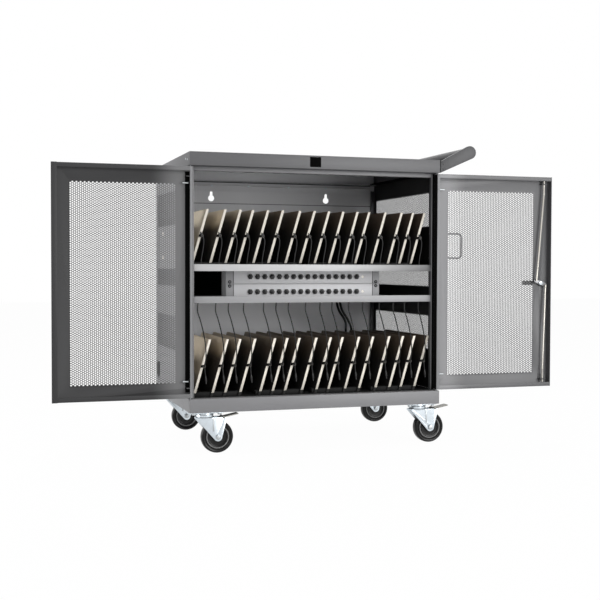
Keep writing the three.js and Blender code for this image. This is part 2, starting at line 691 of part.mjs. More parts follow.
// Doors are drawn closed, in a group on the hinge axis: s runs from the axis to the free edge.
// The end flanges and the pin tabs are set into the bent sheet, so no two faces lie in one plane.
function doorPan(d, outline, reach, holes) {
  const sheet = profileAlongZ(outline.map(([s, t]) => [d * s, t]), DOOR_BOTTOM, DOOR_TOP);
  const hinge = -HINGE_EDGE + SET_IN;
  const t0 = DOOR_FACE + SET_IN;
  const ends = [[DOOR_TOP - SET_IN, -1], [DOOR_BOTTOM + SET_IN, 1]].flatMap(([z, inward]) => [
    cut(
      box(d * hinge, d * (reach - SET_IN), t0, DOOR_TIP - SET_IN, z, z + inward * DOOR_LIP),
      box(
        d * (hinge - 1), d * (reach + 1), t0 - 1, DOOR_TIP - SET_IN - DOOR_SHEET,
        z + inward * DOOR_SHEET, z + inward * (DOOR_LIP + 1),
      ),
    ),
    box(
      d * hinge, d * (hinge + PIN_TAB_WIDTH), t0, t0 + PIN_TAB_WIDTH,
      z + inward * PIN_TAB_DROP, z + inward * (PIN_TAB_DROP + SHEET),
    ),
  ]);
  const pinHole = bar("z", PIN_DIAMETER + 2 * FIT, DOOR_BOTTOM - 1, DOOR_TOP + 1, 0, 0);
  return cut(join(sheet, ...ends), pinHole, ...fieldOpenings(d), ...holes);
}

// The skin and the two upright flanges, from the hinge flange's tip round to the free edge.
function doorSection(reach, freeEdge) {
  const hinge = -HINGE_EDGE;
  return [
    [hinge, DOOR_TIP], [hinge, DOOR_FACE], [reach, DOOR_FACE], ...freeEdge,
    [reach - DOOR_SHEET, DOOR_FACE + DOOR_SHEET], [hinge + DOOR_SHEET, DOOR_FACE + DOOR_SHEET],
    [hinge + DOOR_SHEET, DOOR_TIP],
  ];
}

// The left door's free edge carries a strip that lies behind the right door when both are closed.
function leftDoor() {
  const reach = LEFT_DOOR_REACH;
  const face = DOOR_TIP + STRIP_GAP;
  const back = face + DOOR_SHEET;
  const tip = reach + STRIP_REACH;
  const strip = [[reach, face], [tip, face], [tip, back], [reach - DOOR_SHEET, back]];
  return doorPan(1, doorSection(reach, strip), reach, []);
}

function rightDoor() {
  const reach = RIGHT_DOOR_REACH;
  const flange = [[reach, DOOR_TIP], [reach - DOOR_SHEET, DOOR_TIP]];
  const rodHole = bar("z", ROD_DIAMETER + 2 * ROD_PLAY, DOOR_BOTTOM - 1, DOOR_TOP + 1, -ROD_S, ROD_T);
  const skinBack = DOOR_FACE + DOOR_SHEET;
  const lockHole = bar("y", SPINDLE_DIAMETER + 2 * FIT, DOOR_FACE - 1, skinBack + 1, -LOCK_S, LOCK_Z);
  return doorPan(-1, doorSection(reach, flange), reach, [rodHole, lockHole]);
}

// An L-shaped quick-release pin; up is 1 at the door's top and -1 at its bottom.
function hingePin(d, up) {
  const edge = up > 0 ? DOOR_TOP : DOOR_BOTTOM;
  const plate = up > 0 ? LID_BOTTOM + SHEET : BASE_TOP - SHEET;
  const low = edge - up * PIN_DROP;
  const collar = edge - up * (SET_IN + DOOR_SHEET + FIT);
  return join(
    bar("z", PIN_DIAMETER, low, plate + up * PIN_TIP, 0, 0, WIRE_SIDES),
    bar("z", PIN_COLLAR, collar, collar - up * PIN_TIP, 0, 0, WIRE_SIDES),
    bar("x", PIN_DIAMETER, 0, d * PIN_HANDLE, 0, low, WIRE_SIDES),
    ball(PIN_DIAMETER, 0, 0, low),
  );
}

function lockHandle() {
  const back = DOOR_FACE - FIT;
  const face = back - BOSS_LENGTH;
  const lever = box(
    -LOCK_S, -LOCK_S + LEVER_LENGTH, face, face - LEVER_THICKNESS,
    LOCK_Z - LEVER_WIDTH / 2, LOCK_Z + LEVER_WIDTH / 2,
  );
  return join(
    bar("y", BOSS_DIAMETER, back, face - LEVER_THICKNESS, -LOCK_S, LOCK_Z, DISC_SIDES),
    bar("y", SPINDLE_DIAMETER, back - 1, CAM_BACK - FIT, -LOCK_S, LOCK_Z),
    lever,
  );
}

// Where the cam's two arms end, seen from the axis: the upper rod's end and the lower rod's end.
function camEnd(arm) {
  const turn = (CAM_TILT * Math.PI) / 180;
  return [-LOCK_S - arm * CAM_ARM * Math.cos(turn), LOCK_Z + arm * CAM_ARM * Math.sin(turn)];
}

function lockCam() {
  const radius = CAM_WIDTH / 2;
  const [x0, z0] = camEnd(-1);
  const [x1, z1] = camEnd(1);
  const turn = Math.atan2(z1 - z0, x1 - x0);
  const outline = new THREE.Shape();
  outline.absarc(x1, z1, radius, turn - Math.PI / 2, turn + Math.PI / 2, false);
  outline.absarc(x0, z0, radius, turn + Math.PI / 2, turn + 1.5 * Math.PI, false);
  outline.closePath();
  return profileAlongY(outline, CAM_BACK, CAM_BACK + CAM_THICKNESS);
}

// A rod from an arm of the cam to its guide and out to the door's edge; arm is 1 for the upper rod.
function lockRod(arm) {
  const edge = arm > 0 ? DOOR_TOP : DOOR_BOTTOM;
  const bend = edge - arm * (GUIDE_DROP + 2 * GUIDE_WIDTH);
  const tip = edge - arm * ROD_REST_GAP;
  const [x, z] = camEnd(arm);
  const middle = [(x - ROD_S) / 2, ROD_T, (z + bend) / 2];
  const slant = [[x, ROD_T, z], middle, [-ROD_S, ROD_T, bend]];
  return join(
    tube(slant, ROD_DIAMETER, WIRE_SIDES, slant.length - 1),
    ball(ROD_DIAMETER + 2 * SET_IN, -ROD_S, ROD_T, bend),
    bar("z", ROD_DIAMETER, bend, tip, -ROD_S, ROD_T, WIRE_SIDES),
  );
}

// The angle that guides a rod near a corner of the right door.
function rodGuide(z) {
  const skin = DOOR_FACE + DOOR_SHEET + FIT;
  const tip = ROD_T + ROD_DIAMETER / 2 + SHEET;
  const half = GUIDE_WIDTH / 2;
  const angle = join(
    box(-ROD_S - half, -ROD_S + half, skin, tip, z, z + GUIDE_THICKNESS),
    box(-ROD_S - half, -ROD_S + half, skin, skin + SHEET, z, z + GUIDE_WIDTH),
  );
  return cut(angle, bar("z", ROD_DIAMETER + 2 * FIT, z - 1, z + GUIDE_THICKNESS + 1, -ROD_S, ROD_T));
}

// A group on a door's hinge axis, turned fully open as in the photograph; d is 1 for the left door.
function hingeGroup(d) {
  const group = new THREE.Group();
  group.position.set(-d * HINGE_X, HINGE_Y, 0);
  group.rotation.z = -d * Math.PI;
  cart.add(group);
  return group;
}

function buildDoors() {
  const left = hingeGroup(1);
  place("left_door", leftDoor(), PAINT, left);
  place("left_upper_hinge_pin", hingePin(1, 1), ZINC, left);
  place("left_lower_hinge_pin", hingePin(1, -1), ZINC, left);
  const right = hingeGroup(-1);
  place("right_door", rightDoor(), PAINT, right);
  place("right_upper_hinge_pin", hingePin(-1, 1), ZINC, right);
  place("right_lower_hinge_pin", hingePin(-1, -1), ZINC, right);
  place("lock_handle", lockHandle(), BLACK_PLASTIC, right);
  place("lock_cam", lockCam(), ZINC, right);
  place("upper_lock_rod", lockRod(1), ZINC, right);
  place("lower_lock_rod", lockRod(-1), ZINC, right);
  place("upper_rod_guide", rodGuide(DOOR_TOP - GUIDE_DROP - GUIDE_THICKNESS), ZINC, right);
  place("lower_rod_guide", rodGuide(DOOR_BOTTOM + GUIDE_DROP), ZINC, right);
}

// Caster pieces are drawn about the swivel's axis, with the axle behind it by the trail.
function casterPlate() {
  return box(
    -PLATE_LENGTH / 2, PLATE_LENGTH / 2, -PLATE_DEPTH / 2, PLATE_DEPTH / 2,
    PLATE_BOTTOM, PLATE_BOTTOM + PLATE_THICKNESS,
  );
}

const LEG_INNER = WHEEL_WIDTH / 2 + FORK_SIDE_GAP;
const LEG_OUTER = LEG_INNER + FORK_SHEET;

function casterFork(braked) {
  const top = CROWN_BOTTOM + FORK_SHEET;
  const side = LEG_OUTER + 1;
  const pivotX = TRAIL + PEDAL_PIVOT_X;
  const pivotZ = WHEEL_RADIUS + PEDAL_PIVOT_Z;
  const outline = new THREE.Shape();
  outline.moveTo(-FORK_TOE, top);
  outline.lineTo(-FORK_TOE, CROWN_BOTTOM - FORK_SHEET);
  outline.absarc(TRAIL, WHEEL_RADIUS, AXLE_BOSS, FORK_TAPER, 2 * Math.PI, false);
  outline.lineTo(pivotX + PEDAL_BARREL, pivotZ - PEDAL_BARREL);
  outline.lineTo(pivotX + PEDAL_BARREL, top);
  outline.closePath();
  const legs = [-1, 1].map((d) => profileAlongY(outline, d * LEG_INNER, d * LEG_OUTER));
  const crown = box(-FORK_TOE, FORK_HEEL - PEDAL_BARREL, -LEG_OUTER, LEG_OUTER, CROWN_BOTTOM, top);
  const race = bar("z", RACE_DIAMETER, CROWN_BOTTOM, PLATE_BOTTOM - FIT, 0, 0, DISC_SIDES);
  const pivot = bar("y", PEDAL_PIN + 2 * FIT, -side, side, pivotX, pivotZ);
  const axle = bar("y", AXLE_DIAMETER + 2 * FIT, -side, side, TRAIL, WHEEL_RADIUS);
  const fork = cut(join(...legs, crown, race), axle);
  return braked ? cut(fork, pivot) : fork;
}

function casterAxle() {
  const end = LEG_OUTER + FIT;
  const tip = end + AXLE_HEAD_LENGTH;
  const heads = [-1, 1].map(
    (side) => bar("y", AXLE_HEAD, side * end, side * tip, TRAIL, WHEEL_RADIUS, AXLE_HEAD_SIDES),
  );
  return join(bar("y", AXLE_DIAMETER, -end, end, TRAIL, WHEEL_RADIUS), ...heads);
}

// A solid tyre with a shallow groove on each side, turned about its axle.
function casterWheel() {
  const bore = AXLE_DIAMETER / 2 + FIT;
  const half = WHEEL_WIDTH / 2;
  const dish = half - WHEEL_DISH_DEPTH;
  const rim = half - WHEEL_RIM_SETBACK;
  const [edgeIn, edgeBack] = TREAD_EDGE;
  const face = [
    [bore, half], [WHEEL_HUB, half], [WHEEL_DISH[0], dish], [WHEEL_DISH[1], dish], [WHEEL_RIM, rim],
    [WHEEL_RADIUS - edgeIn, rim], [WHEEL_RADIUS, half - edgeBack],
  ];
  const nearFace = face.map(([r, y]) => [r, -y]);
  const outline = [...nearFace, ...face.reverse(), nearFace[0]].map(([r, y]) => new THREE.Vector2(r, y));
  return solidOf(new THREE.LatheGeometry(outline, WHEEL_SIDES)).translate([TRAIL, 0, WHEEL_RADIUS]);
}

// The brake pedal turns on two stub pins in the fork's legs and rises behind the plate.
function brakePedal() {
  const x = TRAIL + PEDAL_PIVOT_X;
  const z = WHEEL_RADIUS + PEDAL_PIVOT_Z;
  const tread = polygon([
    [x, z - PEDAL_THICKNESS / 2], [x + PEDAL_LENGTH, z + PEDAL_RISE],
    [x + PEDAL_LENGTH, z + PEDAL_RISE + PEDAL_THICKNESS], [x, z + PEDAL_THICKNESS / 2],
  ]);
  return join(
    profileAlongY(tread, -PEDAL_WIDTH / 2, PEDAL_WIDTH / 2),
    bar("y", PEDAL_BARREL, -LEG_INNER + FIT, LEG_INNER - FIT, x, z),
    bar("y", PEDAL_PIN, -LEG_OUTER, LEG_OUTER, x, z),
  );
}

function buildCasters() {
  const spots = [
    ["front_left", -1, -1, true], ["front_right", 1, -1, true],
    ["rear_left", -1, 1, false], ["rear_right", 1, 1, false],
  ];
  for (const [name, sx, sy, braked] of spots) {
    const group = new THREE.Group();
    group.position.set(sx * (HALF - CASTER_INSET_X), sy * (BACK - CASTER_INSET_Y), 0);
    cart.add(group);
    place(`${name}_caster_plate`, casterPlate(), ZINC, group);
    place(`${name}_caster_fork`, casterFork(braked), ZINC, group);
    place(`${name}_caster_axle`, casterAxle(), ZINC, group);
    place(`${name}_caster_wheel`, casterWheel(), RUBBER, group);
    if (braked) place(`${name}_brake_pedal`, brakePedal(), ZINC, group);
  }
}

buildCabinet();
buildHandle();
buildDividers();
buildStrips();
buildCables();
buildDoors();
buildCasters();

export default cart;
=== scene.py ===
"""Looks of the laptop charging cart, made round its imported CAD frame.

Lengths in the tables are millimetres in the cart's frame; meshes are in metres.
"""
import json
import math

import bmesh
import bpy
from mathutils import Matrix, Vector

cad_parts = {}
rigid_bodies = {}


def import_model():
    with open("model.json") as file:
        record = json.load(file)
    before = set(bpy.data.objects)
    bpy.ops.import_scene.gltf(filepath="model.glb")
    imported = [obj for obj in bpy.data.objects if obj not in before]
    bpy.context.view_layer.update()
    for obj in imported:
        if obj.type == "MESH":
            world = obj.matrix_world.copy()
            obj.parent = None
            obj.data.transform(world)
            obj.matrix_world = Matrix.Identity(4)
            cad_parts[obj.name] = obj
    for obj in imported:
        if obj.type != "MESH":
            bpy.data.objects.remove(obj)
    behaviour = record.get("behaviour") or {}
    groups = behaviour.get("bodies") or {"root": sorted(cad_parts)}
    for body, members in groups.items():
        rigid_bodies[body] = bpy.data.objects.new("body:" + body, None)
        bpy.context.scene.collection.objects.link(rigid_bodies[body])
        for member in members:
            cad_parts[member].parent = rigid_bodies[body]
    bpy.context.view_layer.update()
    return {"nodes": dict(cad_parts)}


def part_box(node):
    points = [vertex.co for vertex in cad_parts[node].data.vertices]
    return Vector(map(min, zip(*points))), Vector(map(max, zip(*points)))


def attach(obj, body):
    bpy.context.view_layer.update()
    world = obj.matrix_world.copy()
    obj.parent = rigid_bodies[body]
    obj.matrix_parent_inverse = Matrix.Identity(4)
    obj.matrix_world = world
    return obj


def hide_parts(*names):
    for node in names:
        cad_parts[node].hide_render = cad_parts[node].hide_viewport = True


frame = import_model()
scene = bpy.context.scene
scene.view_settings.view_transform = "Standard"

MM = 0.001
CABINET = "cabinet"
SIDES = ((-1, "left"), (1, "right"))
CORNERS = ("front_left", "front_right", "rear_left", "rear_right")

# Camera, fitted to corner points of the photograph (metres and degrees)
CAMERA_AT = (-1.0534, -3.4154, 0.5704)
CAMERA_YAW, CAMERA_PITCH, CAMERA_ROLL = 17.56, 1.77, 0.15
CAMERA_LENS, SENSOR = 63.65, 36.0
CAMERA_CLIP = (0.1, 60.0)

# Levels and faces of the cabinet
BASE_TOP, LOWER_DECK, UPPER_DECK, LID_BOTTOM, LID_TOP = 172.0, 470.0, 571.0, 875.0, 916.0
FIT = 0.3
HALF_WIDTH, FRONT, BACK = 410.0, -287.5, 287.5
JAMB_FRONT, JAMB_INNER, BACK_INNER = -258.5, 391.0, 283.2
WALL_SHEET, WALL_INNER = 2.0, 408.0

# Doors, standing open beside the cabinet
DOOR_SKIN_Y, DOOR_SHEET, DOOR_BOTTOM, DOOR_TOP = -264.0, 1.5, 175.0, 872.0
HINGE_X, HINGE_Y, HINGE_FLANGE, PIN_DIAMETER = 405.0, -275.0, 400.0, 5.0

# Perforated fields: pitch of the holes, web between them, sheets and where the fields lie
HOLE_PITCH, HOLE_WEB = 6.8, 1.7
DOOR_FIELD_SHEET, WALL_FIELD_SHEET = 1.3, 0.8
DOOR_FIELD = (446.0, 763.0, 216.0, 824.0)
WALL_FIELD_FRONT, WALL_FIELD_REAR = -203.0, 270.0
WALL_FIELD_LEVELS = ((703.0, 819.0), (506.0, 567.0), (300.0, 414.0))

# Dividers: left edge of each foot on the raster of slots
SLOT_PITCH = 8.0
UPPER_SLOTS = (0, 7, 13, 18, 24, 30, 37, 43, 49, 55, 61, 66, 73, 80, 85, 90)
LOWER_SLOTS = (0, 7, 12, 18, 26, 31, 36, 43, 49, 54, 61, 67, 74, 80, 85, 91)
UPPER_FIRST, LOWER_FIRST = -400.0, -393.0
DIVIDER_HEIGHT, DIVIDER_THICK, DIVIDER_LEAN = 176.0, 8.0, 0.29
DIVIDER_FRONT, DIVIDER_BACK = -241.5, 118.5
DIVIDER_FOOT = 12.0
CLIP_RISE = 95.0

# Charge cables: waypoints across and up from each clip
CABLE_Y, CABLE_DIAMETER = -251.7, 3.5
UPPER_CABLE_START, LOWER_CABLE_START = -5, -20
UPPER_CABLE_RISE = ((-1, -62), (4, -34), (5, -12), (0, 0))
LOWER_CABLE_HANG = ((LOWER_CABLE_START, 3), (-21, -26), (-13, -52))
LOWER_CABLE_TAIL = ((-3, 104), (4, 62), (5, 28), (1, 0), (4, -34))

# Supply cords: exit across, line along the back wall, level at the inlet and at the strip
CORD_DIAMETER = 8.0
CORDS = {"lower_supply_cord": (136, 259.2, 206, 494), "upper_supply_cord": (148, 233.2, 226, 539)}
CORD_START_Y, CORD_END_X, INLET_Y = -42.2, -373.7, 247.5

# Charging strips
STRIP_FRONT, STRIP_HALF, STRIP_EAR = -132.5, 237.0, 24.0
OUTLET_COUNT, OUTLET_FIRST, OUTLET_PITCH = 16, -182.0, 24.2
OUTLET_ROWS = {"upper": 539.7, "lower": 491.4}
LAMP_X = 202.0

# Casters
SWIVEL_X, SWIVEL_Y, TRAIL, AXLE_Z = 354.0, 239.5, 38.0, 50.0


def linear(*srgb):
    """Colour values of 0 to 255 as the linear ones that a shader takes."""
    def one(value):
        share = value / 255
        return share / 12.92 if share <= 0.04045 else ((share + 0.055) / 1.055) ** 2.4
    return tuple(one(v) for v in srgb) + (1.0,)


class Socket:
    """An output socket; arithmetic on it adds Math nodes to its tree."""

    def __init__(self, graph, out):
        self.graph, self.out = graph, out

    def __getitem__(self, name):
        return Socket(self.graph, self.out.node.outputs[name])

    def math(self, operation, *values):
        return self.graph.node("ShaderNodeMath", {"operation": operation}, dict(enumerate(values)))

    def __add__(self, other):
        return self.math("ADD", self, other)

    def __radd__(self, other):
        return self.math("ADD", other, self)

    def __sub__(self, other):
        return self.math("SUBTRACT", self, other)

    def __rsub__(self, other):
        return self.math("SUBTRACT", other, self)

    def __mul__(self, other):
        return self.math("MULTIPLY", self, other)

    def __rmul__(self, other):
        return self.math("MULTIPLY", other, self)

    def __truediv__(self, other):
        return self.math("DIVIDE", self, other)

    def __mod__(self, other):
        return self.math("MODULO", self, other)

    def __gt__(self, other):
        return self.math("GREATER_THAN", self, other)

    def __lt__(self, other):
        return self.math("LESS_THAN", self, other)

    def __abs__(self):
        return self.math("ABSOLUTE", self)

    def floor(self):
        return self.math("FLOOR", self)

    def sign(self):
        return self.math("SIGN", self)


class Graph:
    """A node tree with one method that adds any node."""

    def __init__(self, tree):
        self.tree = tree
        self.ids = {}

    def node(self, kind, settings=None, values=None):
        made = self.tree.nodes.new(kind)
        for name, value in (settings or {}).items():
            setattr(made, name, value)
        for name, value in (values or {}).items():
            if isinstance(value, Socket):
                self.tree.links.new(value.out, made.inputs[name])
            else:
                made.inputs[name].default_value = value
        return Socket(self, made.outputs[0]) if made.outputs else made

    def mix(self, factor, a, b):
        made = self.node("ShaderNodeMix", {"data_type": "RGBA"}, {0: factor, 6: a, 7: b})
        return Socket(self, made.out.node.outputs[2])

    def smooth(self, value, low, high):
        settings = {"interpolation_type": "SMOOTHSTEP"}
        return self.node("ShaderNodeMapRange", settings, {"Value": value, "From Min": low, "From Max": high})

    def noise(self, where, scale, detail=3.0, roughness=0.55):
        values = {"Vector": where, "Scale": scale, "Detail": detail, "Roughness": roughness}
        return self.node("ShaderNodeTexNoise", {}, values)

    def stretched(self, where, scale):
        return self.node("ShaderNodeMapping", {}, {"Vector": where, "Scale": scale})

    def bump(self, height, strength, distance):
        return self.node("ShaderNodeBump", {}, {"Height": height, "Strength": strength, "Distance": distance})

    def input(self, name, kind):
        item = self.tree.interface.new_socket(name, in_out="INPUT", socket_type=kind)
        self.ids[name] = item.identifier
        return Socket(self, self.entry.outputs[name])


def material(name):
    """A new material's graph, its Principled node and its Object coordinates."""
    made = bpy.data.materials.new(name)
    made.use_nodes = True
    graph = Graph(made.node_tree)
    shader = made.node_tree.nodes["Principled BSDF"]
    where = graph.node("ShaderNodeTexCoord")["Object"]
    return made, graph, shader, where


def feed(graph, shader, **sockets):
    """Sets or links the Principled node's sockets, named with underscores for spaces."""
    for name, value in sockets.items():
        socket = shader.inputs[name.replace("_", " ")]
        if isinstance(value, Socket):
            graph.tree.links.new(value.out, socket)
        else:
            socket.default_value = value


def shade(colour, factor):
    return tuple(c * factor for c in colour[:3]) + (1.0,)


def across(graph, where):
    """How far a point lies to the right of the middle plane."""
    return graph.node("ShaderNodeSeparateXYZ", {}, {"Vector": where})["X"]


def powder_coat(name, colour, roughness, specular=0.5, lighting_tone=None, span=(0.0, 1.0)):
    """Satin powder coat: a fine orange-peel grain, faint clouds and small rubbed spots.

    Another tone takes over from the first colour between the two places across (mm) of the span: painted
    light and painted shade across the sheet.
    """
    made, graph, shader, where = material(name)
    cloud = graph.noise(where, 4.0, 4.0)
    rubbed = graph.smooth(graph.noise(where, 38.0, 8.0, 0.7), 0.62, 0.8)
    grain = graph.noise(where, 1300.0, 2.0)
    base = graph.mix(cloud, shade(colour, 0.9), shade(colour, 1.1))
    base = graph.mix(rubbed * 0.25, base, shade(colour, 1.3))
    # painted light and painted shade: another tone across the sheet
    if lighting_tone:
        other = graph.mix(cloud, shade(lighting_tone, 0.9), shade(lighting_tone, 1.1))
        base = graph.mix(graph.smooth(across(graph, where), span[0] * MM, span[1] * MM), base, other)
    feed(
        graph, shader, Base_Color=base, Roughness=roughness - rubbed * 0.08 + cloud * 0.06,
        Normal=graph.bump(grain, 0.25, 0.00012), Specular_IOR_Level=specular,
    )
    return made


def zinc_plate(name, colour, roughness):
    """Bright zinc plating with faint spangle, clouded gloss and fine drawing lines."""
    made, graph, shader, where = material(name)
    spangle = graph.node("ShaderNodeTexVoronoi", {}, {"Vector": where, "Scale": 160.0})["Color"]
    grey = graph.node("ShaderNodeRGBToBW", {}, {"Color": spangle})
    cloud = graph.noise(where, 45.0, 5.0, 0.65)
    base = graph.mix(grey * 0.5 + cloud * 0.4, shade(colour, 0.84), shade(colour, 1.05))
    grain = graph.noise(graph.stretched(where, (1.0, 1.0, 0.06)), 1600.0, 2.0)
    feed(
        graph, shader, Base_Color=base, Metallic=0.85, Roughness=roughness + cloud * 0.14,
        Normal=graph.bump(grain, 0.12, 0.0001),
    )
    return made


def moulded(name, colour, roughness, grain_scale=900.0, specular=0.5):
    """Moulded plastic or rubber with a fine matt grain and slightly uneven gloss."""
    made, graph, shader, where = material(name)
    cloud = graph.noise(where, 26.0, 4.0)
    grain = graph.noise(where, grain_scale, 3.0, 0.6)
    base = graph.mix(cloud, shade(colour, 0.8), shade(colour, 1.2))
    feed(
        graph, shader, Base_Color=base, Roughness=roughness + (cloud - 0.5) * 0.16,
        Normal=graph.bump(grain, 0.2, 0.00015), Specular_IOR_Level=specular,
    )
    return made


def brushed_case(name, colour, ear):
    """The charging strips' sheet case, brushed along its length, with its ears in their own colour."""
    made, graph, shader, where = material(name)
    lines = graph.noise(graph.stretched(where, (0.012, 1.0, 1.0)), 1500.0, 4.0, 0.7)
    cloud = graph.noise(where, 9.0, 3.0)
    base = graph.mix(lines * 0.7 + cloud * 0.3, shade(colour, 0.82), shade(colour, 1.12))
    base = graph.mix(abs(across(graph, where)) > STRIP_HALF * MM, base, ear)
    feed(
        graph, shader, Base_Color=base, Metallic=0.15, Roughness=0.46 + lines * 0.16,
        Normal=graph.bump(lines, 0.15, 0.0001),
    )
    return made


def lit_and_shaded_divider_face(name, colour, deck, band):
    """A divider's face: painted shade dark down in the slot, with a cream band of painted light at its top
    that fades along the row.
    """
    made, graph, shader, where = material(name)
    spot = graph.node("ShaderNodeSeparateXYZ", {}, {"Vector": where})
    height = (spot["Z"] - deck * MM) / (DIVIDER_HEIGHT * MM)
    # painted light: the lit band thins from divider to divider along the row
    light_fade = spot.math("POWER", 0.5, (spot["X"] + LIGHT_FADE_FROM * MM) / (LIGHT_FADE_STEP * MM))
    edge = 1 - band * light_fade
    share = graph.smooth(height, edge - 0.14, edge + 0.1) * spot.math("POWER", light_fade, 0.55)
    fibre = graph.noise(graph.stretched(where, (1.0, 0.15, 1.0)), 420.0, 4.0, 0.65)
    cream = graph.mix(fibre, shade(colour, 0.88), shade(colour, 1.08))
    # painted shade: brown at the top of the slot to black down in it
    slot = graph.mix(graph.smooth(height, 0.5, 1.1), SLOT_SHADE_BLACK, SLOT_SHADE_BROWN)
    feed(
        graph, shader, Base_Color=graph.mix(share, slot, cream), Roughness=0.55 + fibre * 0.12,
        Normal=graph.bump(fibre, 0.12, 0.0002),
    )
    return made


def divider_edge(name, colour, deck):
    """The cream front edge, with handling marks and a darker lower end."""
    made, graph, shader, where = material(name)
    height = graph.node("ShaderNodeSeparateXYZ", {}, {"Vector": where})["Z"]
    share = graph.smooth((height - deck * MM) / (DIVIDER_HEIGHT * MM), 0.0, 0.35)
    marks = graph.noise(where, 70.0, 6.0, 0.7)
    clean = graph.mix(marks, shade(colour, 0.86), shade(colour, 1.06))
    feed(
        graph, shader, Base_Color=graph.mix(share, shade(colour, 0.62), clean),
        Roughness=0.42 + marks * 0.15, Normal=graph.bump(marks, 0.08, 0.0003),
    )
    return made


def lamp_lens(name, colour):
    """A small pilot lamp's lens."""
    made, graph, shader, where = material(name)
    cells = graph.noise(where, 700.0, 2.0)
    feed(
        graph, shader, Base_Color=graph.mix(cells, shade(colour, 0.85), colour), Roughness=0.12 + cells * 0.1,
        Emission_Color=colour, Emission_Strength=0.35,
    )
    return made


# Dividers: cream edges and faces, the painted shade of the slots, and where the painted-light band starts
# fading and how fast
# One cream on all edges, darker in the upper row as painted shade and lighter in the lower as painted light
UPPER_CREAM_SHADED, LOWER_CREAM_LIT = linear(212, 206, 194), linear(240, 233, 220)
# The faces' cream is painted light, brighter in the upper row
UPPER_LIT_FACE, LOWER_LIT_FACE = linear(255, 241, 216), linear(226, 210, 185)
# The slots' brown and black: painted shade
SLOT_SHADE_BROWN, SLOT_SHADE_BLACK = linear(84, 71, 58), linear(13, 11, 10)
LIGHT_FADE_FROM, LIGHT_FADE_STEP = 349.0, 48.0
FINISH = {
    "body": powder_coat("body_powder_coat", linear(82, 82, 84), 0.45),
    "header": powder_coat("header_coat", linear(106, 106, 108), 0.45),
    # The left wall: the body paint made lighter as painted light
    "left_wall": powder_coat("left_wall_lit_coat", linear(128, 128, 130), 0.5),
    # A black sheet inside the right wall: painted shade
    "lining": powder_coat("black_painted_shade_lining", linear(22, 22, 22), 0.5, 0.3),
    # The doors share one paint: the left darker as painted shade, the right lighter as painted sheen, and
    # each lighter towards its hinge as painted light
    "left_door": powder_coat(
        "left_door_coat_shaded", linear(47, 47, 48), 0.46, 0.3, linear(108, 108, 109), (-530.0, -436.0),
    ),
    "right_door": powder_coat(
        "right_door_coat_with_sheen", linear(73, 73, 75), 0.4, 0.5, linear(118, 118, 120), (520.0, 436.0),
    ),
    # The base tray: the body paint made lighter as painted light
    "base": powder_coat("base_lit_powder_coat", linear(120, 120, 122), 0.45),
    # Pale sheets inside, far lighter than the body paint: painted light
    "liner": powder_coat("inner_back_painted_light", linear(206, 206, 208), 0.55),
    "low_liner": powder_coat("low_back_painted_light", linear(234, 234, 236), 0.55),
    # The upper shelf turns darker towards the right wall as painted shade
    "upper_shelf": powder_coat(
        "upper_shelf_coat", linear(186, 186, 187), 0.4, 0.5, linear(98, 98, 99), (0.0, 420.0),
    ),
    "lower_shelf": powder_coat("lower_shelf_coat", linear(146, 146, 148), 0.4),
    "handle": powder_coat("handle_powder_coat", linear(60, 60, 62), 0.48),
    "zinc": zinc_plate("bright_zinc", linear(212, 220, 226), 0.24),
    "pin": zinc_plate("pin_zinc", linear(176, 180, 182), 0.4),
    "wire": zinc_plate("dull_wire", linear(120, 120, 122), 0.3),
    "clip": zinc_plate("clip_steel", linear(74, 72, 70), 0.45),
    "rod": zinc_plate("lock_rod_zinc", linear(204, 200, 192), 0.35),
    "pedal": zinc_plate("pedal_zinc", linear(128, 127, 122), 0.4),
    "tyre": moulded("wheel_rubber", linear(15, 15, 15), 0.3, 500.0, 0.22),
    "black": moulded("black_plastic", linear(20, 20, 21), 0.42),
    "rubber": moulded("grommet_rubber", linear(12, 12, 12), 0.7, 900.0, 0.25),
    # Black for real seams and gaps, and for black strips laid where there is only shade, as painted shade
    "seal": moulded("black_seal_and_painted_shade", linear(5, 5, 5), 0.9, 900.0, 0.1),
    "jacket": moulded("cable_jacket", linear(16, 16, 17), 0.4, 1500.0, 0.3),
    "strip": brushed_case("strip_case", linear(206, 206, 208), linear(156, 156, 158)),
    "rim": moulded("outlet_rim", linear(206, 206, 206), 0.35),
    # The wheels' rings: pale as a painted highlight
    "ring": moulded("wheel_ring_painted_highlight", linear(112, 112, 112), 0.25),
    # Divider faces: painted light and painted shade
    "upper_face": lit_and_shaded_divider_face("upper_divider_face_painted_light", UPPER_LIT_FACE, UPPER_DECK, 0.4),
    "lower_face": lit_and_shaded_divider_face("lower_divider_face_painted_light", LOWER_LIT_FACE, BASE_TOP, 0.44),
    # Divider edges: the upper row's cream as painted shade, the lower's as painted light
    "upper_edge": divider_edge("upper_divider_edge", UPPER_CREAM_SHADED, UPPER_DECK),
    "lower_edge": divider_edge("lower_divider_edge", LOWER_CREAM_LIT, BASE_TOP),
    "lens": lamp_lens("pilot_lens", linear(250, 244, 232)),
    "badge": moulded("blank_badge", linear(4, 4, 4), 0.9, 1500.0, 0.05),
}

# Making meshes

# Angles between faces (degrees) from which an edge is rounded, and from which it is shaded sharp
ROUNDED_FROM, SHARP_FROM = 40.0, 35.0


def add_prism(bm, outline, place, low, high):
    """A closed prism: outline points (a, b) pushed from low to high; place(a, b, c) gives x, y, z in mm."""
    rings = [[bm.verts.new(Vector(place(a, b, c)) * MM) for a, b in outline] for c in (low, high)]
    bm.faces.new(rings[0])
    bm.faces.new(list(reversed(rings[1])))
    count = len(outline)
    for i in range(count):
        j = (i + 1) % count
        bm.faces.new((rings[0][j], rings[0][i], rings[1][i], rings[1][j]))


def along_y(a, b, c):
    return (a, c, b)


